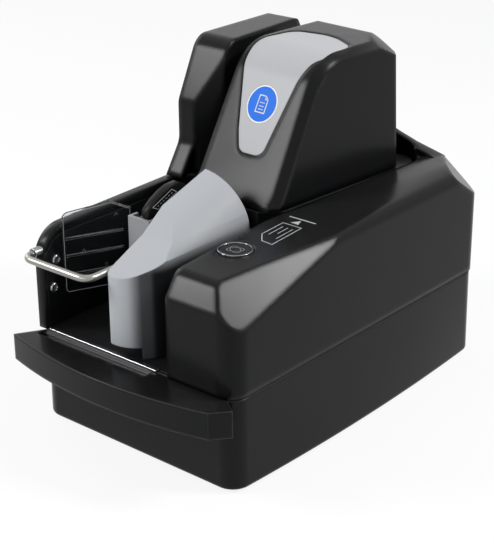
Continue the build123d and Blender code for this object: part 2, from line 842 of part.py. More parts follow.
def badge_inlay():
    inlay = badge_column(0.0) & badge_zone() & tower_block(0.2)
    inlay -= tower_block(badge_recess)
    inlay -= disc_column(disc_radius) - tower_block(0.2 + disc_thickness)
    return tower_place() * inlay


def disc_layer(outer_radius, inner_radius):
    layer = disc_column(outer_radius) & tower_block(0.2)
    layer -= tower_block(0.2 + disc_thickness)
    if inner_radius:
        layer -= disc_column(inner_radius)
    return tower_place() * layer


def badge_disc():
    return disc_layer(disc_radius - disc_ring, 0)


def badge_ring():
    return disc_layer(disc_radius, disc_radius - disc_ring)


# ---- outer cover ----

def outer_hinge_z():
    return left_deck_top


def knuckle(y, z_inner):
    """Hinge knuckle with its leaf, standing out of the casing's left side."""
    half = knuckle_length / 2
    barrel = rod_y(outer_hinge_x, y - half, y + half, outer_hinge_z(), outer_hinge_radius)
    low = min(z_inner, outer_hinge_z())
    high = max(z_inner, outer_hinge_z())
    leaf = block(outer_hinge_x - 0.4, -case_right + 0.5, y - half, y + half, low, high)
    return barrel + leaf


def outer_block(inset=0.0):
    """Left tower: raked front with a flared foot and a wide chamfer towards the track."""
    foot = left_deck_top + outer_gap - 2 * inset
    top = outer_top - inset
    shift = inset * 1.1
    front = outer_front + inset
    ahead = outer_front - outer_flare - 5.0
    side = outline((outer_front - outer_flare + inset, foot), (front, outer_knee_z, 12.0),
                   (front, outer_rake_z, 10.0), (outer_front + outer_rake + shift, top, 12.0 - inset),
                   (outer_rear - outer_back_cut - inset, top, 4.0),
                   (outer_rear - inset, top - outer_back_drop), (outer_rear - inset, foot))
    shape = along_x(side, outer_left - 5.0, outer_inner_front + 15.0)
    plan = outline((outer_left + inset, ahead), (outer_face_right, ahead), (outer_face_right, front),
                   (outer_inner_front - inset, front + outer_chamfer),
                   (outer_inner_rear - inset, outer_rear - inset, 4.0 - inset),
                   (outer_left + inset, outer_rear - inset, 6.0 - inset))
    return shape & along_z(plan, foot - 1.0, top + 1.0)


def knuckle_room(y):
    """Clearance round a knuckle of the other half of the hinge."""
    half = knuckle_length / 2 + knuckle_gap
    return rod_y(outer_hinge_x, y - half, y + half, outer_hinge_z(), outer_hinge_radius + knuckle_gap)


def outer_cover():
    cover = outer_block() - outer_block(outer_wall)
    for y in outer_knuckles[0::2]:
        cover -= knuckle_room(y)
    for y in outer_knuckles[1::2]:
        cover += knuckle(y, left_deck_top + 7.0)
    return cover - rod_y(outer_hinge_x, -20, 110, outer_hinge_z(), outer_pin_radius + outer_hinge_slack)


def screw_x(x, y, z, grip):
    """Pan-head screw lying along X with its head outwards at x."""
    head = rod_x(x, x + pocket_screw_head_height, y, z, pocket_screw_head)
    return head + rod_x(x - grip, x, y, z, pocket_screw_radius)


def outer_hinge_pins():
    half = knuckle_length / 2
    starts = outer_knuckles[0::2]
    ends = outer_knuckles[1::2]
    pins = [(start - half, end + half) for start, end in zip(starts, ends)]
    return [rod_y(outer_hinge_x, y0, y1, outer_hinge_z(), outer_pin_radius) for y0, y1 in pins]


# ---- exit pocket ----

def liner_face(grow):
    rear = -6.0 + grow
    return outline((liner_front - grow, base_height + 0.2 - grow),
                   (liner_front - grow, liner_top + grow, liner_corner + grow),
                   (rear, liner_top + grow), (rear, base_height + 0.2 - grow))


def pocket_liner():
    liner = along_x(liner_face(0.0), pocket_left - liner_thickness, pocket_left)
    for y, z in pocket_screw_places:
        liner -= rod_x(pocket_left - 3, pocket_left + 1, y, z, pocket_screw_radius + screw_slack)
    return liner - rod_x(pocket_left - 3, pocket_left + 1, sensor_eye_y, sensor_eye_z, 2.6)


def exit_sensor():
    """Small lens that sees documents arrive in the pocket."""
    lens = rod_x(pocket_left - liner_thickness, pocket_left + 1.2, sensor_eye_y, sensor_eye_z, 2.4)
    return fillet(lens.edges().group_by(Axis.X)[-1], 1.0)


def pocket_screws():
    return [screw_x(pocket_left, y, z, 4.6) for y, z in pocket_screw_places]


def bail_sleeve():
    sleeve = rod_y(bail_left_x, sleeve_front, sleeve_rear, bail_z, sleeve_radius)
    return sleeve - rod_y(bail_left_x, sleeve_front - 1, sleeve_rear + 1, bail_z,
                          bail_wire + bail_slack)


def stacker_bail():
    """Round wire bent into a U: it slides out to stop longer documents."""
    path = FilletPolyline((bail_left_x, bail_left_tail, bail_z), (bail_left_x, bail_front_y, bail_z),
                          (bail_right_x, bail_front_y, bail_z), (bail_right_x, bail_right_tail, bail_z),
                          radius=bail_bend)
    return sweep(Plane(origin=path @ 0, z_dir=path % 0) * Circle(bail_wire), path=path)


def flag_place():
    return Pos(flag_hinge_x, flag_hinge_y, 0) * Rot(0, 0, -flag_angle)


def flag_ear_levels():
    """Undersides of the cradle's two ears."""
    return (flag_bottom + flag_ear_rise, flag_top - flag_ear_drop)


def exit_flag():
    """Clear flap on an upright pin that holds documents against the far wall."""
    half = flag_thickness / 2
    low, high = flag_ear_levels()
    face = outline((-flag_length, flag_bottom, 2.0), (-flag_length, flag_top, 4.0),
                   (-flag_peak, flag_top + flag_rise, 3.0), (0, flag_top - flag_fall), (0, flag_bottom))
    leaf = along_x(face, -half, half)
    room = flag_barrel + 1.2
    leaf -= rod(0, 0, flag_bottom - 1, low + flag_ear + flag_coil, room)
    leaf -= rod(0, 0, high - 0.3, flag_top + 5, room)
    leaf += rod(0, 0, low + flag_ear + flag_coil, high - 0.3, flag_barrel)
    return flag_place() * (leaf - rod(0, 0, 0, sky, flag_pin_radius + flag_slack))


def flag_pin():
    low, high = flag_ear_levels()
    return rod(flag_hinge_x, flag_hinge_y, low, high + flag_ear, flag_pin_radius)


def coil(x, y, z0, z1, radius, wire, turns):
    """Coil spring standing on z0."""
    height = z1 - z0 - 2 * wire
    path = Pos(x, y, z0 + wire) * Helix(height / turns, height, radius)
    return sweep(Plane(origin=path @ 0, z_dir=path % 0) * Circle(wire), path=path)


def flag_spring():
    """Light coil between the lower ear and the flag's barrel."""
    low, high = flag_ear_levels()
    return coil(flag_hinge_x, flag_hinge_y, low + flag_ear, low + flag_ear + flag_coil - 0.1,
                flag_coil_radius, flag_wire, 3)


# ---- hood ----

def hood_section(y, inset):
    """Half-vault: flat on the left, quarter round on the right, at one station along Y."""
    share = (y - hood_front) / (hood_rear - hood_front)
    crown = hood_crown_front + (hood_crown_rear - hood_crown_front) * share - inset
    left = hood_left + inset
    right = hood_right - inset
    bottom = hood_bottom - 2 * inset
    shoulder = hood_shoulder_z - inset
    mid_x = left + 0.72 * (right - left)
    mid_z = shoulder + 0.68 * (crown - shoulder)
    sides = [
        Line((left, y, bottom), (left, y, crown)),
        ThreePointArc((left, y, crown), (mid_x, y, mid_z), (right, y, shoulder)),
        Line((right, y, shoulder), (right, y, bottom)),
        Line((right, y, bottom), (left, y, bottom)),
    ]
    return make_face(sides).face()


def hood_plan(inset=0.0):
    """Straight back to front, with a nose that curves away on the side of the entry."""
    front = hood_front + inset
    left = hood_left + inset
    right = hood_right - inset
    return outline((left, hood_rear + 5.0), (left, front, 5.0 - inset),
                   (right - hood_nose_width, front + 1.0, hood_nose_radius - inset),
                   (right, front + hood_nose_depth, hood_nose_radius - inset),
                   (right, hood_rear + 5.0))


def hood_block(inset=0.0):
    front = hood_front + inset
    stations = (front - hood_overrun, hood_rear + hood_overrun)
    vault = loft([hood_section(y, inset) for y in stations], ruled=True)
    vault &= along_z(hood_plan(inset), hood_bottom - 3 * inset, sky)
    crown = hood_crown_rear + 2.0
    ramp = outline((front - 1, hood_bottom - 5), (front - 1, hood_crease_z - inset - 0.5),
                   (front + 30.0, hood_crease_z + 13.5 - inset), (hood_rear - 20.0, crown),
                   (hood_rear - hood_lean, crown), (hood_rear, hood_shoulder_z - 3.0),
                   (hood_rear, hood_bottom - 5))
    return vault & along_x(ramp, hood_left - 1, hood_right + 1)


def ink_hood():
    hood = hood_block() - hood_block(hood_wall)
    hood += hood_tab(0.0) - hood_tab(hood_wall)
    return hood - rod_x(hood_left + hood_blind - 0.2, hood_right - hood_blind + 0.2, hood_pin_y,
                        hood_pin_z, hood_pin_radius + hood_pin_slack)


def hood_tab(inset):
    """Foot of the nose beside the entry; it stops just above the floor."""
    column = along_z(hood_plan(inset), base_height + hood_tab_gap - inset, hood_bottom + 1.0 + inset)
    return column & block(hood_tab_left + inset, hood_right, hood_front,
                          hood_front + hood_tab_length - inset, 0, sky)


def hood_pin():
    """Runs through the island's two ears; its ends turn in blind holes in the hood's side walls."""
    return rod_x(hood_left + hood_blind, hood_right - hood_blind, hood_pin_y, hood_pin_z,
                 hood_pin_radius)


# ---- printer ----

def ink_cradle():
    """Grey cradle that holds the ink cartridge between the two pockets."""
    cradle = block(cradle_left, cradle_right, cradle_front, cradle_rear, base_height, cradle_top)
    cradle -= block(cradle_left + cradle_wall, cradle_right - cradle_wall,
                    cradle_front + cradle_wall, cradle_rear - cradle_wall,
                    cradle_floor, cradle_top + 1)
    window = block(cradle_left - 1, cradle_left + cradle_wall + 1, cradle_front + cradle_post,
                   cradle_rear - 6.0, cradle_floor + 7.0, cradle_top + 1)
    cradle -= window
    arch = outline((cradle_front, arch_front_z - 6.0), (cradle_front, arch_front_z, 3.0),
                   (cradle_front + 14.0, arch_top_z - 1.0, 14.0), (cradle_rear - 8.0, arch_top_z, 6.0),
                   (cradle_rear, arch_top_z - 5.0), (cradle_rear, arch_front_z - 6.0))
    rib = along_x(arch, arch_x, arch_x + cradle_wall)
    inside = cradle_wall + 0.2
    rib -= block(arch_x - 1, arch_x + 4, cradle_front + inside, cradle_rear - inside, cradle_floor,
                 cartridge_top + cartridge_gap)
    cradle += rib
    ear = outline((latch_hinge_y - 2.4, cradle_top - 1.0), (latch_hinge_y - 2.4, latch_hinge_z + 2.4, 2.0),
                  (latch_hinge_y + 2.4, latch_hinge_z + 2.4, 2.0), (latch_hinge_y + 2.4, cradle_top - 1.0))
    cradle += along_x(ear, cradle_right - cradle_wall, cradle_right)
    cradle -= rod_x(arch_x - 1, cradle_right + 1, latch_hinge_y, latch_hinge_z,
                    latch_pin_radius + latch_slack)
    for z in flag_ear_levels():
        cradle += rod(flag_hinge_x, flag_hinge_y, z, z + flag_ear, flag_barrel + 0.2)
        cradle += block(flag_hinge_x, cradle_left + 0.6, flag_hinge_y - 2.0, flag_hinge_y + 2.0,
                        z, z + flag_ear)
        cradle += block(flag_hinge_x + 1.6, cradle_left + cradle_wall, flag_hinge_y - 6.0,
                        flag_hinge_y + 2.0, z, z + flag_ear)
        cradle -= rod(flag_hinge_x, flag_hinge_y, z - 1, z + flag_ear + 1, flag_pin_radius)
    clip_y = cradle_front + 2.0
    cradle += block(cradle_right - 0.6, bail_right_x + 0.4, clip_y, clip_y + bail_clip,
                    bail_z - bail_wire - 2.0, bail_z + bail_wire + 2.0)
    return cradle - rod_y(bail_right_x, cradle_front - 1, cradle_rear, bail_z, bail_wire + bail_slack)


def ink_cartridge():
    gap = cartridge_gap + cradle_wall
    body = block(cradle_left + gap, cradle_right - gap, cradle_front + gap, cradle_rear - gap,
                 cradle_floor, cartridge_top)
    return body - block(cradle_left, cradle_left + gap + 4.0, cradle_front, cradle_front + 20.0,
                        cartridge_top - 12.0, cartridge_top + 1)


def latch_outline(inset):
    """Arch that the latch follows over the cartridge."""
    low = cartridge_top + latch_gap - 2 * inset
    return outline((cradle_front + 3.0 + inset, low),
                   (cradle_front + 5.0 + inset, arch_front_z + 6.0 - inset, 3.0),
                   (cradle_front + 16.0, arch_top_z - 2.0 - inset, 10.0),
                   (cradle_rear - 9.0 - inset, arch_top_z - 1.4 - inset, 3.0),
                   (latch_hinge_y - 1.5 - inset, latch_hinge_z), (latch_hinge_y - 1.5 - inset, low))


def cartridge_latch():
    """Black arched latch; it swings up to free the cartridge."""
    left = arch_x + cradle_wall + latch_gap
    right = cradle_right - cradle_wall - latch_gap
    latch = along_x(latch_outline(0.0), left, right) - along_x(latch_outline(latch_thickness),
                                                             left + 1.0, right - 1.0)
    barrel = rod_x(left, right, latch_hinge_y, latch_hinge_z, 2.2)
    return latch + barrel - rod_x(left - 1, right + 1, latch_hinge_y, latch_hinge_z,
                                  latch_pin_radius + latch_slack)


def latch_pin():
    return rod_x(arch_x, cradle_right, latch_hinge_y, latch_hinge_z, latch_pin_radius)


# ---- button ----

def start_button():
    """Round push button with a stem that reaches down to the switch."""
    top = button_top_z + button_proud
    cap = rod(button_x, button_y, top - button_height, top, button_radius)
    stem = rod(button_x, button_y, switch_top() + switch_rest, top - button_height + 0.5, stem_radius)
    return cap + stem


def button_bezel():
    ring = rod(button_x, button_y, button_top_z - bezel_depth, button_top_z + bezel_height,
               bezel_radius)
    return ring - rod(button_x, button_y, 0, sky, button_radius + button_gap)


def switch_top():
    """Height that the stem's end comes down to when the button is pressed."""
    return button_top_z - 12.0


def switch_board_top():
    return switch_top() - button_travel - switch_height


def switch_post_places():
    return [(button_x, button_y - 11.5), (button_x, button_y + 11.5)]


def start_switch():
    """Tactile switch on its own small board, hung from the housing's roof by two posts."""
    top = switch_board_top()
    board = block(button_x - 7, button_x + 7, button_y - 14, button_y + 14, top - 1.4, top)
    return board + block(button_x - 3, button_x + 3, button_y - 3, button_y + 3, top - 0.2,
                         top + switch_height)


def button_spring():
    top = button_top_z + button_proud - button_height
    return coil(button_x, button_y, switch_board_top(), top, button_coil_radius, button_wire, 6)


# ---- drive: a motor above the deck turns four shafts through one belt below it ----

def drive_shaft(x, y):
    """Steel shaft with two tyre hubs above the deck and a flanged pulley below it."""
    shaft = rod(x, y, pulley_z - pulley_height / 2, island_top - 0.5, shaft_radius)
    for z in (tyre_low, tyre_high):
        shaft += rod(x, y, z, z + tyre_height, hub_radius)
    return shaft + pulley(x, y)


def pulley(x, y):
    low = pulley_z - pulley_height / 2
    high = pulley_z + pulley_height / 2
    wheel = rod(x, y, low, high, pulley_radius)
    for z in (low, high - flange):
        wheel += rod(x, y, z, z + flange, pulley_radius + flange)
    return wheel


def drive_tyres(x, y):
    return [rod(x, y, z, z + tyre_height, drive_radius) - rod(x, y, z, z + tyre_height, hub_radius)
            for z in (tyre_low, tyre_high)]


def shaft_bushes():
    bushes = []
    for x, y in drive_places():
        for low, high in ((deck_bottom, base_height), (island_top - 5.0, island_top)):
            bushes.append(rod(x, y, low, high, bush_radius)
                          - rod(x, y, low - 1, high + 1, shaft_radius + shaft_slack))
    return bushes


def pinch_roller(x, y):
    return (rod(x, y, pinch_low, pinch_high, pinch_radius)
            - rod(x, y, pinch_low - 1, pinch_high + 1, pinch_axle_radius + shaft_slack))


def pinch_axles():
    return [rod(x, y, deck_bottom, pinch_high + pinch_seat, pinch_axle_radius)
            for x, y in pinch_places()]


def drive_motor():
    """Round motor standing on the deck, its shaft pointing down."""
    motor = rod(motor_x, motor_y, deck_top, deck_top + motor_height, motor_radius)
    motor = chamfer(motor.edges().group_by(Axis.Z)[-1], 1.0)
    motor -= rod(motor_x, motor_y, 0, deck_top + motor_shaft_depth + 0.5, shaft_radius + shaft_slack)
    for x, y in motor_screw_places():
        motor -= rod(x, y, 0, deck_bottom + machine_screw_grip + 0.2, machine_screw_radius)
    return motor


def motor_pulley():
    shaft = rod(motor_x, motor_y, pulley_z, deck_top + motor_shaft_depth, shaft_radius)
    return shaft + pulley(motor_x, motor_y)


def belt_loop(grow):
    """Shape of a band stretched round the four shafts' pulleys and the motor's."""
    wheels = [Pos(x, y, 0) * CenterArc((0, 0, 0), pulley_radius + grow, 0, 360)
              for x, y in drive_places() + [(motor_x, motor_y)]]
    return make_hull(wheels)


def drive_belt():
    low = pulley_z - belt_width / 2
    high = pulley_z + belt_width / 2
    return (along_z(belt_loop(belt_slack + belt_thickness), low, high)
            - along_z(belt_loop(belt_slack), low - 1, high + 1))


# ---- electronics ----

def standoff_places():
    """Four corners of the board; the rear pair stands ahead of the sockets."""
    x = board_width / 2 - standoff_inset
    front = board_y - board_length / 2 + standoff_inset
    rear = case_rear - socket_length - machine_screw_head - socket_clearance
    return [(side * x, y) for side in (-1, 1) for y in (front, rear)]


def circuit_board():
    board = block(-board_width / 2, board_width / 2, board_y - board_length / 2,
                  board_y + board_length / 2, board_z, board_z + board_thickness)
    for x, y in standoff_places():
        board -= rod(x, y, 0, 20, machine_screw_radius + screw_slack)
    return board


def machine_screw(x, y, seat, way):
    """Pan-head machine screw: head on the seat, thread pointing up (way 1) or down (way -1)."""
    tip = seat + way * machine_screw_grip
    head = seat - way * machine_screw_head_height
    return (rod(x, y, min(seat, tip), max(seat, tip), machine_screw_radius)
            + rod(x, y, min(seat, head), max(seat, head), machine_screw_head))


def machine_screws():
    screws = [machine_screw(x, y, deck_bottom, 1) for x, y in motor_screw_places()]
    board_top = board_z + board_thickness
    return screws + [machine_screw(x, y, board_top, -1) for x, y in standoff_places()]


def socket_cuts():
    """Openings in the rear wall, as (x, half width, z, half height)."""
    return [(power_x, socket_half + socket_gap, socket_z, socket_half + socket_gap),
            (usb_x, usb_half + socket_gap, socket_z, socket_half + socket_gap)]


def socket_shell(x, half_width):
    return block(x - half_width, x + half_width, case_rear - socket_length, case_rear - 0.6,
                 board_z + board_thickness, socket_z + socket_half)


def power_inlet():
    shell = socket_shell(power_x, socket_half)
    shell -= rod_y(power_x, case_rear - 10.0, case_rear, socket_z, 3.1)
    return shell + rod_y(power_x, case_rear - 11.0, case_rear - 2.0, socket_z, 1.0)


def usb_socket():
    shell = socket_shell(usb_x, usb_half)
    shell -= block(usb_x - 4.3, usb_x + 4.3, case_rear - 10.0, case_rear, socket_z - 3.9,
                   socket_z + 3.9)
    return shell + block(usb_x - 2.8, usb_x + 2.8, case_rear - 11.0, case_rear - 2.0,
                         socket_z - 1.5, socket_z + 1.5)


# ---- sensors along the track ----

def head_space(grow):
    """Room for the magnetic head in the outer track wall."""
    face = right_track_x(head_y) - track_gap + nip_gap
    return block(face, face + head_depth, head_y - head_width / 2 - grow,
                 head_y + head_width / 2 + grow, head_low - grow, head_high + grow)


def mag_head():
    """Reading head with a rounded nose that presses on the document."""
    head = head_space(0.0)
    nose = head.edges().filter_by(Axis.Z).group_by(Axis.X)[0]
    return fillet(nose, 2.2)


def mag_head_spring():
    """Leaf that stands on the deck and presses on the head's back."""
    back = right_track_x(head_y) - track_gap + nip_gap + head_depth
    half = head_width / 2 - 1.0
    leaf = block(back, back + head_leaf, head_y - half, head_y + half, deck_top, head_high - 1.0)
    return leaf + block(back, back + 9.0, head_y - half, head_y + half, deck_top, deck_top + head_leaf)


def front_sensor_space(grow):
    """Room for the image sensor in the outer track wall; it stands on the deck."""
    face = right_track_x(front_sensor_y - sensor_width / 2)
    return block(face, face + sensor_depth + grow, front_sensor_y - sensor_width / 2 - grow,
                 front_sensor_y + sensor_width / 2 + grow, deck_top, sensor_top + grow)


def rear_sensor_space(grow):
    """Room for the image sensor in the island's left wall."""
    face = track_left + track_gap
    return block(face, face + sensor_depth + grow, rear_sensor_y - sensor_width / 2 - grow,
                 rear_sensor_y + sensor_width / 2 + grow, base_height, sensor_top + grow)


def glass_space(face, way, y):
    """Glass let into a sensor's face; way is the side that the sensor lies on."""
    low = base_height + 1.5
    return block(min(face, face + way * glass_thickness), max(face, face + way * glass_thickness),
                 y - sensor_width / 2 + 1.5, y + sensor_width / 2 - 1.5, low, sensor_top - 1.5)


def sensor_glass_places():
    return [(right_track_x(front_sensor_y - sensor_width / 2), 1, front_sensor_y),
            (track_left + track_gap, 1, rear_sensor_y)]


def sensor_glasses():
    return [glass_space(*place) for place in sensor_glass_places()]


def front_image_sensor():
    return front_sensor_space(0.0) - glass_space(*sensor_glass_places()[0])


def rear_image_sensor():
    return rear_sensor_space(0.0) - glass_space(*sensor_glass_places()[1])


def feed_separator():
    """Rubber pad that holds back all but one document against the feed tyres."""
    face = drive_places()[0][0] + drive_radius + nip_gap
    wall_face = right_track_x(feed_y + pad_width / 2)
    return block(face, wall_face + wall - 0.4, feed_y - pad_width / 2, feed_y + pad_width / 2,
                 pad_low, pad_high)


# ---- export ----

shafts = ("feed", "right", "left", "exit")
single_pieces = [
    base_casing, deck_plate, track_floor, floor_strip, upper_casing, pocket_liner, exit_sensor,
    bail_sleeve, stacker_bail, exit_flag, flag_pin, flag_spring, track_island, ink_hood, hood_pin,
    ink_cradle, ink_cartridge, cartridge_latch, latch_pin, inner_cover, badge_inlay, badge_disc,
    badge_ring, outer_cover, start_button, button_bezel, button_spring, start_switch, drive_motor,
    motor_pulley, drive_belt, circuit_board, power_inlet, usb_socket, mag_head, mag_head_spring,
    front_image_sensor, rear_image_sensor, feed_separator,
]
groups = [
    rubber_feet, case_screws, pocket_screws, outer_hinge_pins, shaft_bushes, pinch_axles,
    machine_screws, sensor_glasses,
]


def save(name, *shapes):
    placed = [case_place * shape for shape in shapes]
    export_step(placed[0] if len(placed) == 1 else Compound(children=placed), f"parts/{name}.step")


for piece in single_pieces:
    save(piece.__name__, piece())
for group in groups:
    save(group.__name__, *group())
for name, (x, y) in zip(shafts, drive_places()):
    save(f"{name}_shaft", drive_shaft(x, y))
    save(f"{name}_tyres", *drive_tyres(x, y))
for name, (x, y) in zip(shafts[1:], pinch_places()):
    save(f"{name}_pinch_roller", pinch_roller(x, y))
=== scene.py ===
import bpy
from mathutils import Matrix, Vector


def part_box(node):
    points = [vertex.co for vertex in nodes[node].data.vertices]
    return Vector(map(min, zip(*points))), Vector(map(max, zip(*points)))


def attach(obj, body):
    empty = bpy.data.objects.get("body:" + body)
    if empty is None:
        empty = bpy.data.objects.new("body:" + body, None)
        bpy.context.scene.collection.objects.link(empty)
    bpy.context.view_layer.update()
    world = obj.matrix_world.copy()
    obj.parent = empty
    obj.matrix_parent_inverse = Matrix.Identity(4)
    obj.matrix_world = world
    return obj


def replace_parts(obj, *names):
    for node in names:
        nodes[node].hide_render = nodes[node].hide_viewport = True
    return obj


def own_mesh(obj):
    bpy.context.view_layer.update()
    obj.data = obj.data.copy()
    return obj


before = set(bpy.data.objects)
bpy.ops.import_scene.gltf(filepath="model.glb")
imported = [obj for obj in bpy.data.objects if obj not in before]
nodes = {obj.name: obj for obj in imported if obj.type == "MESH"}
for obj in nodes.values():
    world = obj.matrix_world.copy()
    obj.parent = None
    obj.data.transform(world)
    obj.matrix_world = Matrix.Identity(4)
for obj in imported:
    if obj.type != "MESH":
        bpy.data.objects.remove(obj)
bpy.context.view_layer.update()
import math
import bmesh
import bpy
from mathutils import Matrix, Vector
from mathutils.bvhtree import BVHTree


def new_group(name, inputs, outputs):
    """Shader node group; an input's default gives its kind, and an output names its own."""
    tree = bpy.data.node_groups.new(name, "ShaderNodeTree")
    for label, value in inputs.items():
        kind = {3: "Vector", 4: "Color"}[len(value)] if isinstance(value, tuple) else "Float"
        socket = tree.interface.new_socket(label, in_out="INPUT", socket_type="NodeSocket" + kind)
        socket.default_value = value
    for label, kind in outputs.items():
        tree.interface.new_socket(label, in_out="OUTPUT", socket_type="NodeSocket" + kind)
    start = tree.nodes.new("NodeGroupInput")
    end = tree.nodes.new("NodeGroupOutput")
    return tree, start, end


def add(tree, kind, **values):
    """New shader node; a keyword that names a socket sets it, any other sets the node's property."""
    node = tree.nodes.new("ShaderNode" + kind)
    for key, value in values.items():
        label = key.replace("_", " ")
        socket = next((s for s in node.inputs if s.name.lower() == label), None)
        if socket is None:
            setattr(node, key, value)
        else:
            socket.default_value = value
    return node


def wire(tree, links):
    """Links, each as a node, its output, the next node and its input."""
    for source, output, target, socket in links:
        tree.links.new(source.outputs[output], target.inputs[socket])


def new_material(name):
    material = bpy.data.materials.new(name)
    material.use_nodes = True
    tree = material.node_tree
    return material, tree, tree.nodes["Principled BSDF"]


surface_outputs = {"Color": "Color", "Roughness": "Float", "Normal": "Vector"}


def spark_texture():
    """Fine eroded texture of a moulding tool on soft edges, and the patchy gloss that goes with it."""
    tree, start, end = new_group("spark_texture", {"Scale": 1.0, "Depth": 0.1, "Gloss": 0.4,
                                 "Patch": 0.06, "Round": 0.0005},
                                 {"Roughness": "Float", "Normal": "Vector"})
    place = add(tree, "TexCoord")
    size = add(tree, "VectorMath", operation="SCALE")
    grain = add(tree, "TexNoise", scale=2600.0, detail=3.0, roughness=0.6)
    patch = add(tree, "TexNoise", scale=38.0, detail=5.0, roughness=0.65)
    bump = add(tree, "Bump", distance=0.00006)
    soft = add(tree, "Bevel", samples=8)
    spread = add(tree, "Math", operation="MULTIPLY_ADD")
    centre = add(tree, "Math", operation="SUBTRACT")
    centre.inputs[1].default_value = 0.5
    wire(tree, [(place, "Object", size, 0), (start, "Scale", size, "Scale"), (size, 0, grain, "Vector"),
                (place, "Object", patch, "Vector"), (grain, 0, bump, "Height"),
                (start, "Depth", bump, "Strength"), (start, "Round", soft, "Radius"),
                (soft, 0, bump, "Normal"), (patch, 0, centre, 0), (centre, 0, spread, 0),
                (start, "Patch", spread, 1), (start, "Gloss", spread, 2), (spread, 0, end, "Roughness"),
                (bump, 0, end, "Normal")])
    return tree


def dust_film():
    """Thin dust that settles on faces turned upwards."""
    tree, start, end = new_group("dust_film", {"Base": (0.02, 0.02, 0.02, 1), "Amount": 0.05},
                                 {"Color": "Color"})
    facing = add(tree, "NewGeometry")
    upward = add(tree, "SeparateXYZ")
    place = add(tree, "TexCoord")
    cloud = add(tree, "TexNoise", scale=95.0, detail=8.0, roughness=0.75)
    ramp = add(tree, "MapRange", from_min=0.3, from_max=1.0)
    amount = add(tree, "Math", operation="MULTIPLY", use_clamp=True)
    share = add(tree, "Math", operation="MULTIPLY", use_clamp=True)
    mix = add(tree, "Mix", data_type="RGBA")
    mix.inputs[7].default_value = (0.34, 0.33, 0.31, 1)
    wire(tree, [(facing, "Normal", upward, 0), (upward, "Z", ramp, "Value"),
                (place, "Object", cloud, "Vector"), (ramp, 0, amount, 0), (cloud, 0, amount, 1),
                (amount, 0, share, 0), (start, "Amount", share, 1), (share, 0, mix, 0),
                (start, "Base", mix, 6), (mix, 2, end, "Color")])
    return tree


def edge_wear_and_highlight():
    """Pale sharp outer edges, part real wear and part a painted edge highlight: 0 on flats, towards 1 on
    sharp outer edges.
    """
    tree, start, end = new_group("edge_wear_and_highlight", {"Reach": 0.0006, "Strength": 1.0}, {"Mask": "Float"})
    soft = add(tree, "Bevel", samples=4)
    plain = add(tree, "NewGeometry")
    match = add(tree, "VectorMath", operation="DOT_PRODUCT")
    place = add(tree, "TexCoord")
    broken = add(tree, "TexNoise", scale=240.0, detail=6.0, roughness=0.7)
    gap = add(tree, "MapRange", from_min=1.0, from_max=0.86)
    spots = add(tree, "Math", operation="MULTIPLY", use_clamp=True)
    scaled = add(tree, "Math", operation="MULTIPLY", use_clamp=True)
    wire(tree, [(start, "Reach", soft, "Radius"), (soft, 0, match, 0), (plain, "Normal", match, 1),
                (match, "Value", gap, "Value"), (place, "Object", broken, "Vector"), (gap, 0, spots, 0),
                (broken, 0, spots, 1), (spots, 0, scaled, 0), (start, "Strength", scaled, 1),
                (scaled, 0, end, "Mask")])
    return tree


spark = spark_texture()
dust = dust_film()
# Every plastic's sharp edges are laid paler: part wear, part painted edge highlight.
pale_edge_group = edge_wear_and_highlight()


def plastic(name, colour, gloss, scale=1.0, depth=0.1, dusty=0.05, patch=0.06, wear_and_highlight=0.25,
            wear_and_highlight_colour=(0.06, 0.06, 0.063), specular=0.4, rounding=0.5, **sockets):
    """Moulded plastic: textured, faintly dusty on top and paler along sharp edges, as real wear and as a
    painted edge highlight.
    rounding is how far its edges look drawn over, in mm."""
    material, tree, shader = new_material(name)
    texture = add(tree, "Group", node_tree=spark, scale=scale, depth=depth, gloss=gloss, patch=patch,
                  round=rounding / 1000)
    film = add(tree, "Group", node_tree=dust, amount=dusty)
    edge = add(tree, "Group", node_tree=pale_edge_group, strength=wear_and_highlight)
    tint = add(tree, "Mix", data_type="RGBA")
    tint.inputs[6].default_value = (*colour, 1)
    tint.inputs[7].default_value = (*wear_and_highlight_colour, 1)
    wire(tree, [(edge, "Mask", tint, 0), (tint, 2, film, "Base"), (film, "Color", shader, "Base Color"),
                (texture, "Roughness", shader, "Roughness"), (texture, "Normal", shader, "Normal")])
    shader.inputs["Specular IOR Level"].default_value = specular
    for label, value in sockets.items():
        shader.inputs[label.replace("_", " ").title()].default_value = value
    return material


def dress(name, material, edge=0.0, segments=2, angle=28.0):
    """Gives a CAD node its material and softens its edges; edge is the rounding in mm."""
    node = nodes[name]
    mesh = node.data
    mesh.materials.clear()
    mesh.materials.append(material)
    if not edge:
        return node
    if "custom_normal" in mesh.attributes:
        mesh.attributes.remove(mesh.attributes["custom_normal"])
    mesh.shade_smooth()
    weld = node.modifiers.new("weld", "WELD")
    weld.merge_threshold = 1e-6
    bevel = node.modifiers.new("edges", "BEVEL")
    bevel.width = edge / 1000
    bevel.segments = segments
    bevel.limit_method = "ANGLE"
    bevel.angle_limit = math.radians(angle)
    bevel.harden_normals = False
    normals = node.modifiers.new("normals", "WEIGHTED_NORMAL")
    normals.keep_sharp = False
    return node


casing_black = plastic("casing_black", (0.0055, 0.0057, 0.0062), 0.23, depth=0.10, patch=0.05,
                       dusty=0.02, wear_and_highlight=0.12, specular=0.11, rounding=4.5)
# The base's edges are laid much paler still: a painted highlight along the shelf's front edge and the seam
# under the upper casing.
base_black = plastic("base_black", (0.0060, 0.0062, 0.0067), 0.23, depth=0.10, patch=0.05,
                     dusty=0.02, wear_and_highlight=0.8, wear_and_highlight_colour=(0.16, 0.16, 0.165), specular=0.13, rounding=2.2)
dress("base_casing", base_black, edge=0.4)

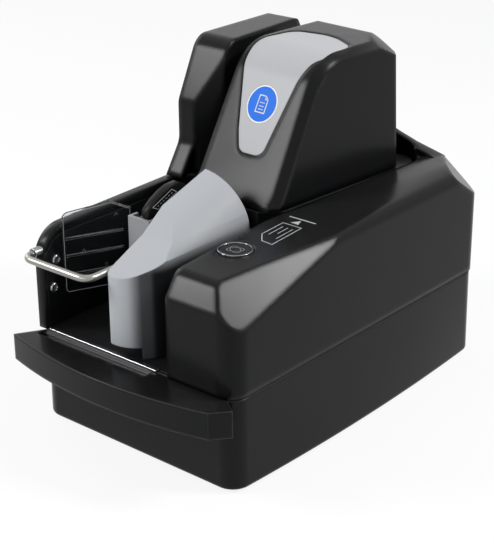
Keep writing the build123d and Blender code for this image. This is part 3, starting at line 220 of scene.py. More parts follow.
# ---- feet and case screws ----
# Four moulded rubber feet pressed into the base, and four zinc-plated screws with cross recesses
# that come up through the base's bosses and hold the upper casing down.
base_length = 223.0
base_low, base_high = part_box("base_casing")
base_shift = Vector((0.0, base_high[1] * 1000 - base_length / 2, base_low[2] * 1000))


def at(x, y, z):
    """A place measured in mm from the middle of the base's underside, in metres in the row frame."""
    return (Vector((x, y, z)) + base_shift) / 1000


def ground_skin():
    """Dull skin of moulded or ground rubber: pores, grey bloom and dull patches."""
    tree, start, end = new_group("ground_skin", {"Scale": 900.0, "Depth": 0.4,
                                 "Base": (0.03, 0.03, 0.03, 1), "Bloom": (0.12, 0.12, 0.12, 1)},
                                 surface_outputs)
    place = add(tree, "TexCoord")
    pores = add(tree, "TexNoise", detail=4.0, roughness=0.7)
    cloud = add(tree, "TexNoise", scale=120.0, detail=6.0, roughness=0.7)
    share = add(tree, "MapRange", from_min=0.45, from_max=0.8, to_max=0.6)
    rough = add(tree, "MapRange", to_min=0.62, to_max=0.92)
    mix = add(tree, "Mix", data_type="RGBA")
    bump = add(tree, "Bump", distance=0.0001)
    wire(tree, [(place, "Object", pores, "Vector"), (place, "Object", cloud, "Vector"),
                (start, "Scale", pores, "Scale"), (pores, 0, bump, "Height"),
                (start, "Depth", bump, "Strength"), (cloud, 0, share, "Value"),
                (cloud, 0, rough, "Value"), (share, 0, mix, 0), (start, "Base", mix, 6),
                (start, "Bloom", mix, 7), (mix, 2, end, "Color"), (rough, 0, end, "Roughness"),
                (bump, 0, end, "Normal")])
    return tree


def brushed_grain():
    """Fine lines left by drawing, turning or brushing metal along one direction."""
    tree, start, end = new_group("brushed_grain", {"Stretch": (1.0, 1.0, 1.0), "Depth": 0.1,
                                 "Gloss": 0.3, "Spread": 0.15, "Base": (0.5, 0.5, 0.5, 1),
                                 "Streak": (0.4, 0.4, 0.4, 1)}, surface_outputs)
    place = add(tree, "TexCoord")
    size = add(tree, "VectorMath", operation="MULTIPLY")
    lines = add(tree, "TexNoise", scale=1.0, detail=3.0, roughness=0.6)
    cloud = add(tree, "TexNoise", scale=60.0, detail=4.0)
    centre = add(tree, "Math", operation="SUBTRACT")
    centre.inputs[1].default_value = 0.5
    spread = add(tree, "Math", operation="MULTIPLY_ADD")
    mix = add(tree, "Mix", data_type="RGBA")
    bump = add(tree, "Bump", distance=0.00003)
    wire(tree, [(place, "Object", size, 0), (start, "Stretch", size, 1), (size, 0, lines, "Vector"),
                (place, "Object", cloud, "Vector"), (lines, 0, bump, "Height"),
                (start, "Depth", bump, "Strength"), (cloud, 0, centre, 0), (centre, 0, spread, 0),
                (start, "Spread", spread, 1), (start, "Gloss", spread, 2), (lines, 0, mix, 0),
                (start, "Base", mix, 6), (start, "Streak", mix, 7), (mix, 2, end, "Color"),
                (spread, 0, end, "Roughness"), (bump, 0, end, "Normal")])
    return tree


skin = ground_skin()
grain = brushed_grain()


def from_group(name, group, values, **sockets):
    """Material whose colour, roughness and normal come from one group with its own values."""
    material, tree, shader = new_material(name)
    finish = add(tree, "Group", node_tree=group)
    for label, value in values.items():
        finish.inputs[label].default_value = value
    wire(tree, [(finish, "Color", shader, "Base Color"), (finish, "Roughness", shader, "Roughness"),
                (finish, "Normal", shader, "Normal")])
    for label, value in sockets.items():
        shader.inputs[label.replace("_", " ").title()].default_value = value
    return material


def rubber(name, base, bloom, scale=900.0, depth=0.4):
    return from_group(name, skin, {"Scale": scale, "Depth": depth, "Base": (*base, 1),
                                   "Bloom": (*bloom, 1)})


def metal(name, base, streak, gloss, stretch=(900.0, 900.0, 900.0), depth=0.15, spread=0.12):
    """Bare or plated metal; stretch is the grain's frequency along X, Y and Z."""
    return from_group(name, grain, {"Stretch": stretch, "Depth": depth, "Gloss": gloss,
                                    "Spread": spread, "Base": (*base, 1), "Streak": (*streak, 1)},
                      metallic=1.0)


foot_rubber = rubber("foot_rubber", (0.016, 0.016, 0.016), (0.07, 0.07, 0.068))
dress("rubber_feet", foot_rubber, edge=0.4)
zinc = metal("zinc", (0.62, 0.63, 0.64), (0.48, 0.49, 0.51), 0.30)


def solids_of(name):
    """Lowest and highest corner of each separate solid in a CAD node."""
    work = bmesh.new()
    work.from_mesh(nodes[name].data)
    bmesh.ops.remove_doubles(work, verts=work.verts, dist=1e-6)
    left = set(work.verts)
    boxes = []
    while left:
        group = [left.pop()]
        for vert in group:
            for edge in vert.link_edges:
                other = edge.other_vert(vert)
                if other in left:
                    left.remove(other)
                    group.append(other)
        places = [nodes[name].matrix_world @ vert.co for vert in group]
        boxes.append(tuple(Vector(pick(p[i] for p in places) for i in range(3)) for pick in (min, max)))
    work.free()
    return sorted(boxes, key=lambda box: tuple(box[0]))


def ringed(rings):
    """Vertices and faces of a closed skin through rings that have the same number of points."""
    count = len(rings[0])
    vertices = [point for ring in rings for point in ring]
    faces = [tuple(range(count))]
    for level in range(len(rings) - 1):
        low = level * count
        for i in range(count):
            j = (i + 1) % count
            faces.append((low + i, low + j, low + count + j, low + count + i))
    faces.append(tuple(range(len(vertices) - count, len(vertices))))
    return vertices, faces


def piece(name, shapes, material, body, smooth=30.0):
    """One object made of closed shapes, each a pair of vertices and faces, riding on a body."""
    work = bmesh.new()
    for vertices, faces in shapes:
        made = [work.verts.new(vertex) for vertex in vertices]
        for face in faces:
            work.faces.new([made[i] for i in face])
    bmesh.ops.recalc_face_normals(work, faces=work.faces)
    mesh = bpy.data.meshes.new(name)
    work.to_mesh(mesh)
    work.free()
    mesh.shade_smooth()
    mesh.set_sharp_from_angle(angle=math.radians(smooth))
    mesh.materials.append(material)
    made_piece = bpy.data.objects.new(name, mesh)
    bpy.context.scene.collection.objects.link(made_piece)
    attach(made_piece, body)
    return made_piece


def cross(turn, reach):
    """Edge of a cross recess: four arms, a quarter turn apart."""
    arm = 0.48 * reach
    off = abs((turn + math.pi / 4) % (math.pi / 2) - math.pi / 4)
    return min(reach, arm / 2 / max(math.sin(off), 1e-6))


def star(turn, reach):
    """Edge of a six-lobed recess."""
    return reach * (0.86 + 0.14 * math.cos(6 * turn))


def screw(seat, outward, head, height, shank, grip, recess):
    """Pan-head screw: recess, domed head and shank. seat is the middle of the head's underside."""
    count = 48
    reach = 0.56 * head
    levels = [(lambda turn: 0.72 * recess(turn, reach), 0.35 * height),
              (lambda turn: recess(turn, reach), 0.94 * height)]
    for share, drop in ((0.66, 1.0), (0.80, 0.95), (0.92, 0.80), (1.0, 0.5), (1.0, 0.0)):
        levels.append((lambda turn, share=share: share * head, drop * height))
    for radius, level in ((shank, 0.0), (shank, -0.9 * grip), (0.6 * shank, -grip)):
        levels.append((lambda turn, radius=radius: radius, level))
    spin = Vector(outward).to_track_quat("Z", "Y").to_matrix()
    rings = []
    for edge, level in levels:
        ring = []
        for i in range(count):
            turn = 2 * math.pi * i / count
            flat = Vector((edge(turn) * math.cos(turn), edge(turn) * math.sin(turn), level))
            ring.append(seat + spin @ flat / 1000)
        rings.append(ring)
    return ringed(rings)


case_head = 3.3
case_head_height = 2.2
case_shank = 1.6


def case_screw_shapes():
    """Four screws with their heads down; radii and heights in mm."""
    shapes = []
    for low, high in solids_of("case_screws"):
        seat = Vector(((low.x + high.x) / 2, (low.y + high.y) / 2, low.z + case_head_height / 1000))
        grip = (high.z - seat.z) * 1000
        shapes.append(screw(seat, (0, 0, -1), case_head, case_head_height, case_shank, grip, cross))
    return shapes


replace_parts(piece("case_screw_set", case_screw_shapes(), zinc, "chassis"), "case_screws")

# ---- deck, circuit board and sockets ----
# Galvanised steel deck with its spangle; a green board with solder resist over its tracks, on the
# base's standoffs; and the power and data sockets on its rear edge.


def spangle():
    """Crystals of hot-dip zinc: patches of slightly different grey and gloss."""
    tree, start, end = new_group("spangle", {"Scale": 160.0}, surface_outputs)
    place = add(tree, "TexCoord")
    cells = add(tree, "TexVoronoi")
    tone = add(tree, "SeparateColor")
    shade = add(tree, "MapRange", to_min=0.46, to_max=0.60)
    rough = add(tree, "MapRange", to_min=0.30, to_max=0.48)
    grey = add(tree, "CombineColor")
    bump = add(tree, "Bump", distance=0.00002, strength=0.3)
    wire(tree, [(place, "Object", cells, "Vector"), (start, "Scale", cells, "Scale"),
                (cells, "Color", tone, 0), (tone, 0, shade, "Value"), (tone, 1, rough, "Value"),
                (cells, "Distance", bump, "Height")])
    wire(tree, [(shade, 0, grey, channel) for channel in range(3)])
    wire(tree, [(grey, 0, end, "Color"), (rough, 0, end, "Roughness"), (bump, 0, end, "Normal")])
    return tree


def solder_resist():
    """Copper tracks that show as paler lines and slight ridges under green lacquer."""
    tree, start, end = new_group("solder_resist", {"Pitch": 260.0}, surface_outputs)
    place = add(tree, "TexCoord")
    tracks = add(tree, "TexBrick", mortar_size=0.05, brick_width=1.6, row_height=0.4)
    cloud = add(tree, "TexNoise", scale=200.0, detail=3.0)
    rough = add(tree, "MapRange", to_min=0.18, to_max=0.34)
    mix = add(tree, "Mix", data_type="RGBA")
    mix.inputs[6].default_value = (0.008, 0.075, 0.028, 1)
    mix.inputs[7].default_value = (0.025, 0.17, 0.06, 1)
    bump = add(tree, "Bump", distance=0.00003, strength=0.4)
    wire(tree, [(place, "Object", tracks, "Vector"), (start, "Pitch", tracks, "Scale"),
                (place, "Object", cloud, "Vector"), (tracks, "Fac", mix, 0),
                (tracks, "Fac", bump, "Height"), (cloud, 0, rough, "Value"), (mix, 2, end, "Color"),
                (rough, 0, end, "Roughness"), (bump, 0, end, "Normal")])
    return tree


dress("deck_plate", from_group("galvanised", spangle(), {"Scale": 160.0}, metallic=1.0), edge=0.3)
dress("circuit_board", from_group("resist", solder_resist(), {"Pitch": 260.0}))
socket_black = plastic("socket_black", (0.012, 0.012, 0.013), 0.38, depth=0.12)
dress("power_inlet", socket_black, edge=0.3)
tin_shell = metal("tin_shell", (0.66, 0.67, 0.68), (0.55, 0.56, 0.58), 0.22,
                  stretch=(2500.0, 120.0, 2500.0))
dress("usb_socket", tin_shell, edge=0.2)


def brick(x, y, z, width, depth, height, lead=0.35):
    """Moulded chip body with slightly drawn-in sides, standing on z; sizes in mm."""
    rings = []
    for level, inset in ((0.0, lead), (0.45 * height, 0.0), (height, lead)):
        w = width / 2 - inset
        d = depth / 2 - inset
        rings.append([at(x + sx * w, y + sy * d, z + level)
                      for sx, sy in ((-1, -1), (1, -1), (1, 1), (-1, 1))])
    return ringed(rings)


def can(x, y, z, radius, height):
    """Electrolytic capacitor with a rolled groove near its foot and a rounded crown."""
    rings = []
    for level, share in ((0.0, 0.94), (0.04, 1.0), (0.10, 1.0), (0.14, 0.9), (0.18, 1.0),
                         (0.95, 1.0), (1.0, 0.9)):
        rings.append([at(x + share * radius * math.cos(math.tau * i / 24),
                         y + share * radius * math.sin(math.tau * i / 24), z + level * height)
                      for i in range(24)])
    return ringed(rings)


board_low, board_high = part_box("circuit_board")
board_x, board_y = ((board_low[i] + board_high[i]) * 500 - base_shift[i] for i in (0, 1))
board_top = board_high[2] * 1000 - base_shift.z
# Place from the board's middle, width, depth and height of each chip, in mm.
chip_sizes = ((-22.0, 14.0, 14.0, 14.0, 1.6), (10.0, 8.0, 20.0, 7.5, 2.2), (14.0, -18.0, 9.0, 9.0, 1.2),
              (-10.0, -22.0, 8.0, 5.0, 1.6), (-32.0, -20.0, 12.0, 6.5, 2.0))
piece("board_chips", [brick(board_x + x, board_y + y, board_top, w, d, h)
                      for x, y, w, d, h in chip_sizes], socket_black, "chassis")
can_sleeve = plastic("can_sleeve", (0.02, 0.024, 0.035), 0.28, depth=0.05, wear_and_highlight=0.6)
can_radius = 3.1
can_height = 8.0
can_row = -34.0
can_places = (-34.0, -24.0, -14.0)
piece("board_capacitors", [can(board_x + x, board_y + can_row, board_top, can_radius, can_height)
                           for x in can_places], can_sleeve, "chassis")

# ---- drive under and through the deck ----
# Motor can with its toothed pulley, the belt round all five pulleys, turned steel shafts in pale
# acetal bushes, and ground rubber tyres with the pinch rollers they press against.
can_paint = plastic("can_paint", (0.23, 0.235, 0.24), 0.34, depth=0.05, wear_and_highlight=0.6,
                    wear_and_highlight_colour=(0.5, 0.5, 0.5), metallic=0.6)
dress("drive_motor", can_paint, edge=0.5)
acetal = plastic("acetal", (0.62, 0.61, 0.56), 0.34, depth=0.06, wear_and_highlight=0.1, wear_and_highlight_colour=(0.5, 0.49, 0.44))
dress("motor_pulley", acetal, edge=0.2)
dress("shaft_bushes", acetal, edge=0.25)
belt_rubber = rubber("belt_rubber", (0.012, 0.012, 0.013), (0.05, 0.05, 0.05), scale=1600.0)
dress("drive_belt", belt_rubber)
turned_steel = metal("turned_steel", (0.62, 0.62, 0.63), (0.50, 0.50, 0.52), 0.20,
                     stretch=(300.0, 300.0, 4000.0))
for name in ("feed_shaft", "right_shaft", "left_shaft", "exit_shaft", "pinch_axles"):
    dress(name, turned_steel, edge=0.2)
dress("machine_screws", zinc, edge=0.3)
tyre_rubber = rubber("tyre_rubber", (0.035, 0.033, 0.031), (0.13, 0.125, 0.12), scale=1500.0, depth=0.6)
for name in ("feed_tyres", "right_tyres", "left_tyres", "exit_tyres", "feed_separator",
             "right_pinch_roller", "left_pinch_roller", "exit_pinch_roller"):
    dress(name, tyre_rubber, edge=0.3)

# ---- track floor, reading head and image sensors ----
# Dark moulded floor under the whole track, with a bright steel strip along its front edge; a lapped
# metal head on a spring leaf reads the line, and two glazed bars see both faces.
floor_black = plastic("floor_black", (0.0035, 0.0037, 0.0042), 0.40, depth=0.16, dusty=0.02, wear_and_highlight=0.15,
                      specular=0.3)
dress("track_floor", floor_black, edge=0.2)
strip_steel = metal("strip_steel", (0.60, 0.61, 0.63), (0.42, 0.43, 0.45), 0.24,
                    stretch=(120.0, 4500.0, 4500.0), depth=0.25)
dress("floor_strip", strip_steel, edge=0.25)
lapped = metal("lapped", (0.56, 0.55, 0.52), (0.46, 0.45, 0.43), 0.16, stretch=(3500.0, 200.0, 3500.0))
dress("mag_head", lapped, edge=0.25)
spring_steel = metal("spring_steel", (0.58, 0.58, 0.60), (0.45, 0.45, 0.47), 0.22)
dress("mag_head_spring", spring_steel)
bar_black = plastic("bar_black", (0.010, 0.010, 0.011), 0.22, depth=0.05)
dress("front_image_sensor", bar_black, edge=0.25)
dress("rear_image_sensor", bar_black, edge=0.25)


def handled():
    """Clear surface that has been touched: smears, fine scratches and faint waviness."""
    tree, start, end = new_group("handled", {"Gloss": 0.05, "Smear": 0.2},
                                 {"Roughness": "Float", "Normal": "Vector"})
    place = add(tree, "TexCoord")
    smear = add(tree, "TexNoise", scale=70.0, detail=6.0, roughness=0.7, distortion=1.2)
    wave = add(tree, "TexNoise", scale=45.0, detail=1.0)
    mask = add(tree, "MapRange", from_min=0.48, from_max=0.75)
    rough = add(tree, "Math", operation="MULTIPLY_ADD")
    bump = add(tree, "Bump", distance=0.0002, strength=0.12)
    wire(tree, [(place, "Object", smear, "Vector"), (place, "Object", wave, "Vector"),
                (smear, 0, mask, "Value"), (mask, 0, rough, 0), (start, "Smear", rough, 1),
                (start, "Gloss", rough, 2), (wave, 0, bump, "Height"), (rough, 0, end, "Roughness"),
                (bump, 0, end, "Normal")])
    return tree


touched = handled()


def clear(name, tint, gloss, smear, see_through=1.0, ior=1.49):
    """Clear or smoked plastic and glass."""
    material, tree, shader = new_material(name)
    finish = add(tree, "Group", node_tree=touched, gloss=gloss, smear=smear)
    wire(tree, [(finish, "Roughness", shader, "Roughness"), (finish, "Normal", shader, "Normal")])
    shader.inputs["Base Color"].default_value = (*tint, 1)
    shader.inputs["Transmission Weight"].default_value = see_through
    shader.inputs["IOR"].default_value = ior
    return material


dress("sensor_glasses", clear("sensor_glass", (0.55, 0.62, 0.62), 0.02, 0.05, ior=1.52))

# ---- upper casing ----
# One black moulding: right housing, left block, the wall behind the track and the well between
# them. Screws from below pull it down onto the deck.
dress("upper_casing", casing_black, edge=0.6)


class Ground:
    """An object's surface, onto which marks are printed along one direction."""
    reach = 0.2

    def __init__(self, target, along, across, towards, origin=(0, 0, 0)):
        mesh = target.data
        move = target.matrix_world
        points = [move @ vertex.co for vertex in mesh.vertices]
        self.tree = BVHTree.FromPolygons(points, [tuple(face.vertices) for face in mesh.polygons])
        self.along = Vector(along)
        self.across = Vector(across)
        self.towards = Vector(towards)
        self.origin = Vector(origin)

    def point(self, u, v, lift):
        """The place at u along and v across, in mm, raised lift mm off the surface."""
        start = self.origin + (u * self.along + v * self.across) / 1000
        hit = self.tree.ray_cast(start, self.towards, self.reach)[0]
        if hit is None:
            raise ValueError(f"a mark at {u}, {v} misses its surface")
        return hit - self.towards * lift / 1000


ink_rise = 0.04
ink_root = 0.12


def stroke(ground, points, width, closed=False):
    """Printed line of that width through points, as a thin closed band on the surface."""
    count = len(points)
    rings = []
    for i, point in enumerate(points):
        here = Vector(point)
        steps = []
        if closed or i:
            steps.append((here - Vector(points[i - 1])).normalized())
        if closed or i < count - 1:
            steps.append((Vector(points[(i + 1) % count]) - here).normalized())
        sides = [Vector((-step.y, step.x)) for step in steps]
        mitre = sum(sides, Vector((0, 0))).normalized()
        mitre *= width / 2 / max(mitre.dot(sides[0]), 0.4)
        left = here + mitre
        right = here - mitre
        rings.append([ground.point(*left, ink_rise), ground.point(*right, ink_rise),
                      ground.point(*right, -ink_root), ground.point(*left, -ink_root)])
    vertices, faces = ringed(rings)
    if closed:
        last = len(vertices) - 4
        faces = faces[1:-1] + [(last + i, last + (i + 1) % 4, (i + 1) % 4, i) for i in range(4)]
    return vertices, faces


def patch(ground, points):
    """Printed solid shape with that outline."""
    return ringed([[ground.point(*point, lift) for point in points] for lift in (ink_rise, -ink_root)])


def printed_ink(name, colour):
    return plastic(name, colour, 0.42, scale=2.0, depth=0.05, dusty=0.0, wear_and_highlight=0.5,
                   wear_and_highlight_colour=tuple(0.4 * c for c in colour), specular=0.3)


roof_height = 130.0
roof = Ground(nodes["upper_casing"], (1, 0, 0), (0, 1, 0), (0, 0, -1), at(0, 0, roof_height))
cheque_edge = [(35.0, -46.9), (35.2, -29.6), (47.6, -29.7), (47.7, -54.2), (40.4, -53.5)]
cheque_lines = [[(44.9, -33.5), (44.9, -47.5)], [(41.6, -33.5), (41.6, -42.0)],
                [(38.3, -33.5), (38.3, -45.5)]]
arrow = [(38.3, -27.0), (43.6, -27.3), (41.9, -22.4)]
track_bar = [(32.8, -21.4), (50.4, -21.4), (50.4, -20.4), (32.8, -20.4)]
pale_ink = printed_ink("pale_ink", (0.42, 0.43, 0.44))
roof_marks = [stroke(roof, cheque_edge, 0.6, closed=True), patch(roof, arrow), patch(roof, track_bar)]
roof_marks += [stroke(roof, line, 0.5) for line in cheque_lines]
piece("loading_marks", roof_marks, pale_ink, "chassis")

# ---- start button ----
# Satin cap in a turned bezel ring, over a coil spring and a small switch on its own board.
button_satin = plastic("button_satin", (0.0090, 0.0094, 0.0105), 0.26, depth=0.06, wear_and_highlight=0.35,
                       wear_and_highlight_colour=(0.10, 0.10, 0.10), specular=0.1, rounding=1.0)
dress("start_button", button_satin, edge=0.7, segments=3)
bezel_metal = metal("bezel_metal", (0.24, 0.245, 0.255), (0.18, 0.185, 0.195), 0.14, depth=0.1)
dress("button_bezel", bezel_metal, edge=0.35, segments=3)


def coil(x, y, low, high, radius, wire, turns):
    """Closed coil spring standing between two heights; sizes in mm."""
    steps = 24 * turns
    rings = []
    for i in range(steps + 1):
        a = math.tau * turns * i / steps
        z = low + wire + (high - low - 2 * wire) * i / steps
        outward = Vector((math.cos(a), math.sin(a), 0))
        middle = Vector((x, y, z)) + radius * outward
        rings.append([at(*(middle + wire * (math.cos(b) * outward + Vector((0, 0, math.sin(b))))))
                      for b in (math.tau * k / 8 for k in range(8))])
    return ringed(rings)


button_middle = (36.5, -70.0)
coil_radius = 5.5
coil_wire = 0.4
coil_turns = 5
spring_low, spring_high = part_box("button_spring")
button_coil = piece("button_coil", [coil(*button_middle, spring_low[2] * 1000 - base_shift.z,
                                         spring_high[2] * 1000 - base_shift.z, coil_radius, coil_wire,
                                         coil_turns)], spring_steel, "chassis")
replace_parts(button_coil, "button_spring")
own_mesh(button_coil)
dress("start_switch", socket_black, edge=0.2)
button_low, button_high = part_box("start_button")
cap = Ground(nodes["start_button"], (1, 0, 0), (0, 1, 0), (0, 0, -1),
             ((button_low[0] + button_high[0]) / 2, (button_low[1] + button_high[1]) / 2,
              button_high[2] + 0.01))


def loop(x, y, wide, deep, turn, steps=28):
    """Points round a tilted ellipse."""
    points = []
    for i in range(steps):
        a = math.tau * i / steps
        u = wide * math.cos(a)
        v = deep * math.sin(a)
        points.append((x + u * math.cos(turn) - v * math.sin(turn),
                       y + u * math.sin(turn) + v * math.cos(turn)))
    return points


icon_wide = 4.6
icon_deep = 2.6
icon_turn = 35
piece("button_icon", [stroke(cap, loop(0.0, 0.0, icon_wide, icon_deep, math.radians(turn)), 0.45,
                             closed=True) for turn in (icon_turn, -icon_turn)],
      printed_ink("button_ink", (0.19, 0.19, 0.195)), "start_button")

# ---- exit pocket: liner, screws, sensor ----
# Thin black sheet on the pocket's far wall, held by two screws with star recesses; a small clear
# lens looks through it.
liner_black = plastic("liner_black", (0.0026, 0.0028, 0.0032), 0.36, depth=0.18, dusty=0.0, wear_and_highlight=0.2,
                      specular=0.22)
dress("pocket_liner", liner_black, edge=0.25)
dress("exit_sensor", clear("sensor_lens", (0.35, 0.36, 0.40), 0.03, 0.05))
wall = Ground(nodes["pocket_liner"], (0, 1, 0), (0, 0, 1), (-1, 0, 0), at(-40.0, 0, 0))
mark_half = 1.5
marks = [[(y - mark_half, z - 1.0), (y, z + 0.8), (y + mark_half, z - 1.0)]
         for y, z in ((-55.6, 103.8), (-81.6, 90.2))]
piece("liner_marks", [stroke(wall, mark, 0.45) for mark in marks],
      printed_ink("grey_ink", (0.22, 0.22, 0.23)), "chassis")


wall_head = 3.0
wall_head_height = 1.4
wall_shank = 1.5


def pocket_screw_shapes():
    """Two screws with their heads towards the pocket; radii and heights in mm."""
    shapes = []
    for low, high in solids_of("pocket_screws"):
        seat = Vector((high.x - wall_head_height / 1000, (low.y + high.y) / 2, (low.z + high.z) / 2))
        grip = (seat.x - low.x) * 1000
        shapes.append(screw(seat, (1, 0, 0), wall_head, wall_head_height, wall_shank, grip, star))
    return shapes


bright_zinc = metal("bright_zinc", (0.36, 0.365, 0.375), (0.26, 0.265, 0.275), 0.18)
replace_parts(piece("wall_screws", pocket_screw_shapes(), bright_zinc, "chassis"),
            "pocket_screws")

# ---- wire bail and its sleeve ----
# Satin-chromed round wire bent into a U; it slides in a bore of the far wall, through a pressed sleeve.
chrome = metal("bail_chrome", (0.33, 0.32, 0.30), (0.25, 0.245, 0.23), 0.30, stretch=(60.0, 60.0, 60.0),
               depth=0.05, spread=0.10)
bail_wire = 2.0
bail_bend = 6.0
bail_level = 98.0
bail_corners = ((-67.4, -122.0), (-19.6, -122.0))
bail_tails = (-84.0, -62.0)
bail_dome = 0.4
bend_steps = 12


def bail_path():
    """Middle line of the wire with its direction, from the left tail round to the right one."""
    (left, front), (right, _) = bail_corners
    path = [(left, bail_tails[0], 0.0)]
    for x, y, first in ((left + bail_bend, front + bail_bend, math.pi),
                        (right - bail_bend, front + bail_bend, 1.5 * math.pi)):
        for i in range(bend_steps + 1):
            a = first + math.pi / 2 * i / bend_steps
            path.append((x + bail_bend * math.cos(a), y + bail_bend * math.sin(a), a - math.pi))
    path.append((right, bail_tails[1], math.pi))
    return path


def bail_skin():
    """Round wire with slightly domed cut ends."""
    count = 28
    rings = []
    path = bail_path()
    stations = [(*path[0], 0.7, -bail_dome)] + [(*step, 1.0, 0.0) for step in path]
    stations.append((*path[-1], 0.7, bail_dome))
    for x, y, heading, share, beyond in stations:
        across = Vector((math.cos(heading), math.sin(heading), 0))
        ahead = Vector((math.sin(heading), -math.cos(heading), 0))
        middle = Vector((x, y, bail_level)) + ahead * beyond
        rings.append([at(*(middle + bail_wire * share * (math.cos(b) * across
                                                         + Vector((0, 0, math.sin(b))))))
                      for b in (math.tau * k / count for k in range(count))])
    return ringed(rings)


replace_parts(piece("bail_wire", [bail_skin()], chrome, "stacker_bail"), "stacker_bail")
sleeve_steel = metal("sleeve_steel", (0.34, 0.35, 0.36), (0.24, 0.25, 0.26), 0.24,
                     stretch=(3000.0, 200.0, 3000.0))
dress("bail_sleeve", sleeve_steel, edge=0.3)

# ---- exit flag ----
# Clear polycarbonate flap with three raised ribs, on an upright steel pin with a light coil below.
flag_clear = clear("flag_clear", (0.90, 0.92, 0.94), 0.03, 0.04, ior=1.16)
dress("exit_flag", flag_clear, edge=0.35, segments=3)
dress("flag_pin", turned_steel)
dress("flag_spring", spring_steel)
flag_hinge = (-42.0, -61.0)
flag_turn = math.radians(25.0)
flag_half = 0.75


def on_flag(out, along, z):
    """A place on the flag: out from its middle plane, along from the hinge to the tip, at height z."""
    x = flag_hinge[0] + out * math.cos(flag_turn) - along * math.sin(flag_turn)
    y = flag_hinge[1] - out * math.sin(flag_turn) - along * math.cos(flag_turn)
    return at(x, y, z)


def rib(z, start, end, side, half=0.6, proud=0.45):
    """Half-round rib with tapered ends, moulded on one side of the flag."""
    rings = []
    for along, share in ((start, 0.2), (start + 1.2, 1.0), (end - 1.2, 1.0), (end, 0.2)):
        ring = [(flag_half - 0.1, half * share), (flag_half - 0.1, -half * share)]
        ring += [(flag_half + proud * share * math.sin(a), -half * share * math.cos(a))
                 for a in (math.pi * i / 8 for i in range(9))]
        rings.append([on_flag(side * out, along, z + up) for out, up in ring])
    return ringed(rings)


rib_levels = (103.4, 93.4, 82.5)
piece("flag_ribs", [rib(z, 8.0, 42.0, side) for z in rib_levels for side in (1, -1)], flag_clear,
      "exit_flag")

# Cut and moulded edges of the clear sheet gather light, so they show as fine pale lines.
# Painted highlights: fine pale lines along the clear sheet's rim and along both edges of each rib, where its
# cut and moulded edges catch the light.
edge_highlight_paint = plastic("edge_highlight_paint", (0.30, 0.31, 0.32), 0.30, depth=0.04, dusty=0.0, wear_and_highlight=0.0)
flag_side = Ground(nodes["exit_flag"], (-math.sin(flag_turn), -math.cos(flag_turn), 0), (0, 0, 1),
                   (-math.cos(flag_turn), math.sin(flag_turn), 0),
                   at(*flag_hinge, 0) + Vector((math.cos(flag_turn), -math.sin(flag_turn), 0)) * 0.01)
flag_rim = [(4.3, 72.5), (41.2, 72.5), (42.5, 73.6), (42.5, 115.2), (41.2, 117.0), (39.0, 117.6),
            (15.6, 120.2), (13.8, 119.5), (4.3, 114.9)]
rib_edge = 0.62
rib_lines = [[(8.5, z + side), (41.5, z + side)] for z in rib_levels for side in (rib_edge, -rib_edge)]
painted_edge_lights = [stroke(flag_side, flag_rim, 0.28, closed=True)]
painted_edge_lights += [stroke(flag_side, line, 0.16) for line in rib_lines]
piece("flag_edge_highlights", painted_edge_lights, edge_highlight_paint, "exit_flag")

# ---- track island ----
# Dark moulded box inside the bend of the track; its top flange carries the centre cover's posts and
# its front ears carry the hood's pin.
island_black = plastic("island_black", (0.0050, 0.0053, 0.0060), 0.30, depth=0.12, dusty=0.02,
                       specular=0.2, rounding=1.0)
dress("track_island", island_black, edge=0.3)

# ---- ink hood ----
# Satin blue-grey moulding that swings up on a steel pin to uncover the printer.
hood_grey = plastic("hood_grey", (0.395, 0.41, 0.43), 0.44, depth=0.06, dusty=0.02, wear_and_highlight=0.12,
                    wear_and_highlight_colour=(0.52, 0.54, 0.57), specular=0.12, rounding=1.2)


def laid_over(material, dark):
    """The material's tree and a new mix that lays a dark colour over its own by a share to link."""
    tree = material.node_tree
    shader = tree.nodes["Principled BSDF"]
    mix = add(tree, "Mix", data_type="RGBA")
    mix.inputs[7].default_value = (*dark, 1)
    tree.links.new(shader.inputs["Base Color"].links[0].from_socket, mix.inputs[6])
    wire(tree, [(mix, 2, shader, "Base Color")])
    return tree, mix


def paint_entry_wall_shade(material, dark, full_shade_below, no_shade_above):
    """Painted shade and painted reflection of the dark housing on the wall that faces the entry, laid dark
    up to where the vault begins; heights in mm above the desk."""
    tree, mix = laid_over(material, dark)
    facing = add(tree, "TexCoord")
    split = add(tree, "SeparateXYZ")
    place = add(tree, "SeparateXYZ")
    turned = add(tree, "MapRange", interpolation_type="SMOOTHSTEP", from_min=0.45, from_max=0.88)
    below = add(tree, "MapRange", interpolation_type="SMOOTHSTEP",
                from_min=no_shade_above / 1000, from_max=full_shade_below / 1000)
    share = add(tree, "Math", operation="MULTIPLY")
    wire(tree, [(facing, "Normal", split, 0), (facing, "Object", place, 0), (split, "X", turned, "Value"),
                (place, "Z", below, "Value"), (turned, 0, share, 0), (below, 0, share, 1),
                (share, 0, mix, 0)])


# The hood's right wall is laid dark: painted shade where it faces the entry, below the vault.
paint_entry_wall_shade(hood_grey, (0.010, 0.0105, 0.012), full_shade_below=102.0, no_shade_above=113.0)
dress("ink_hood", hood_grey, edge=0.6, segments=3)
dress("hood_pin", turned_steel)

# ---- printer: cradle, cartridge and latch ----
# Light grey cradle on the deck with an arch over the cartridge; the black latch snaps down over the
# cartridge and turns on a steel pin.
cradle_grey = plastic("cradle_grey", (0.28, 0.285, 0.295), 0.36, depth=0.10, dusty=0.03,
                      wear_and_highlight_colour=(0.46, 0.46, 0.47), specular=0.3)


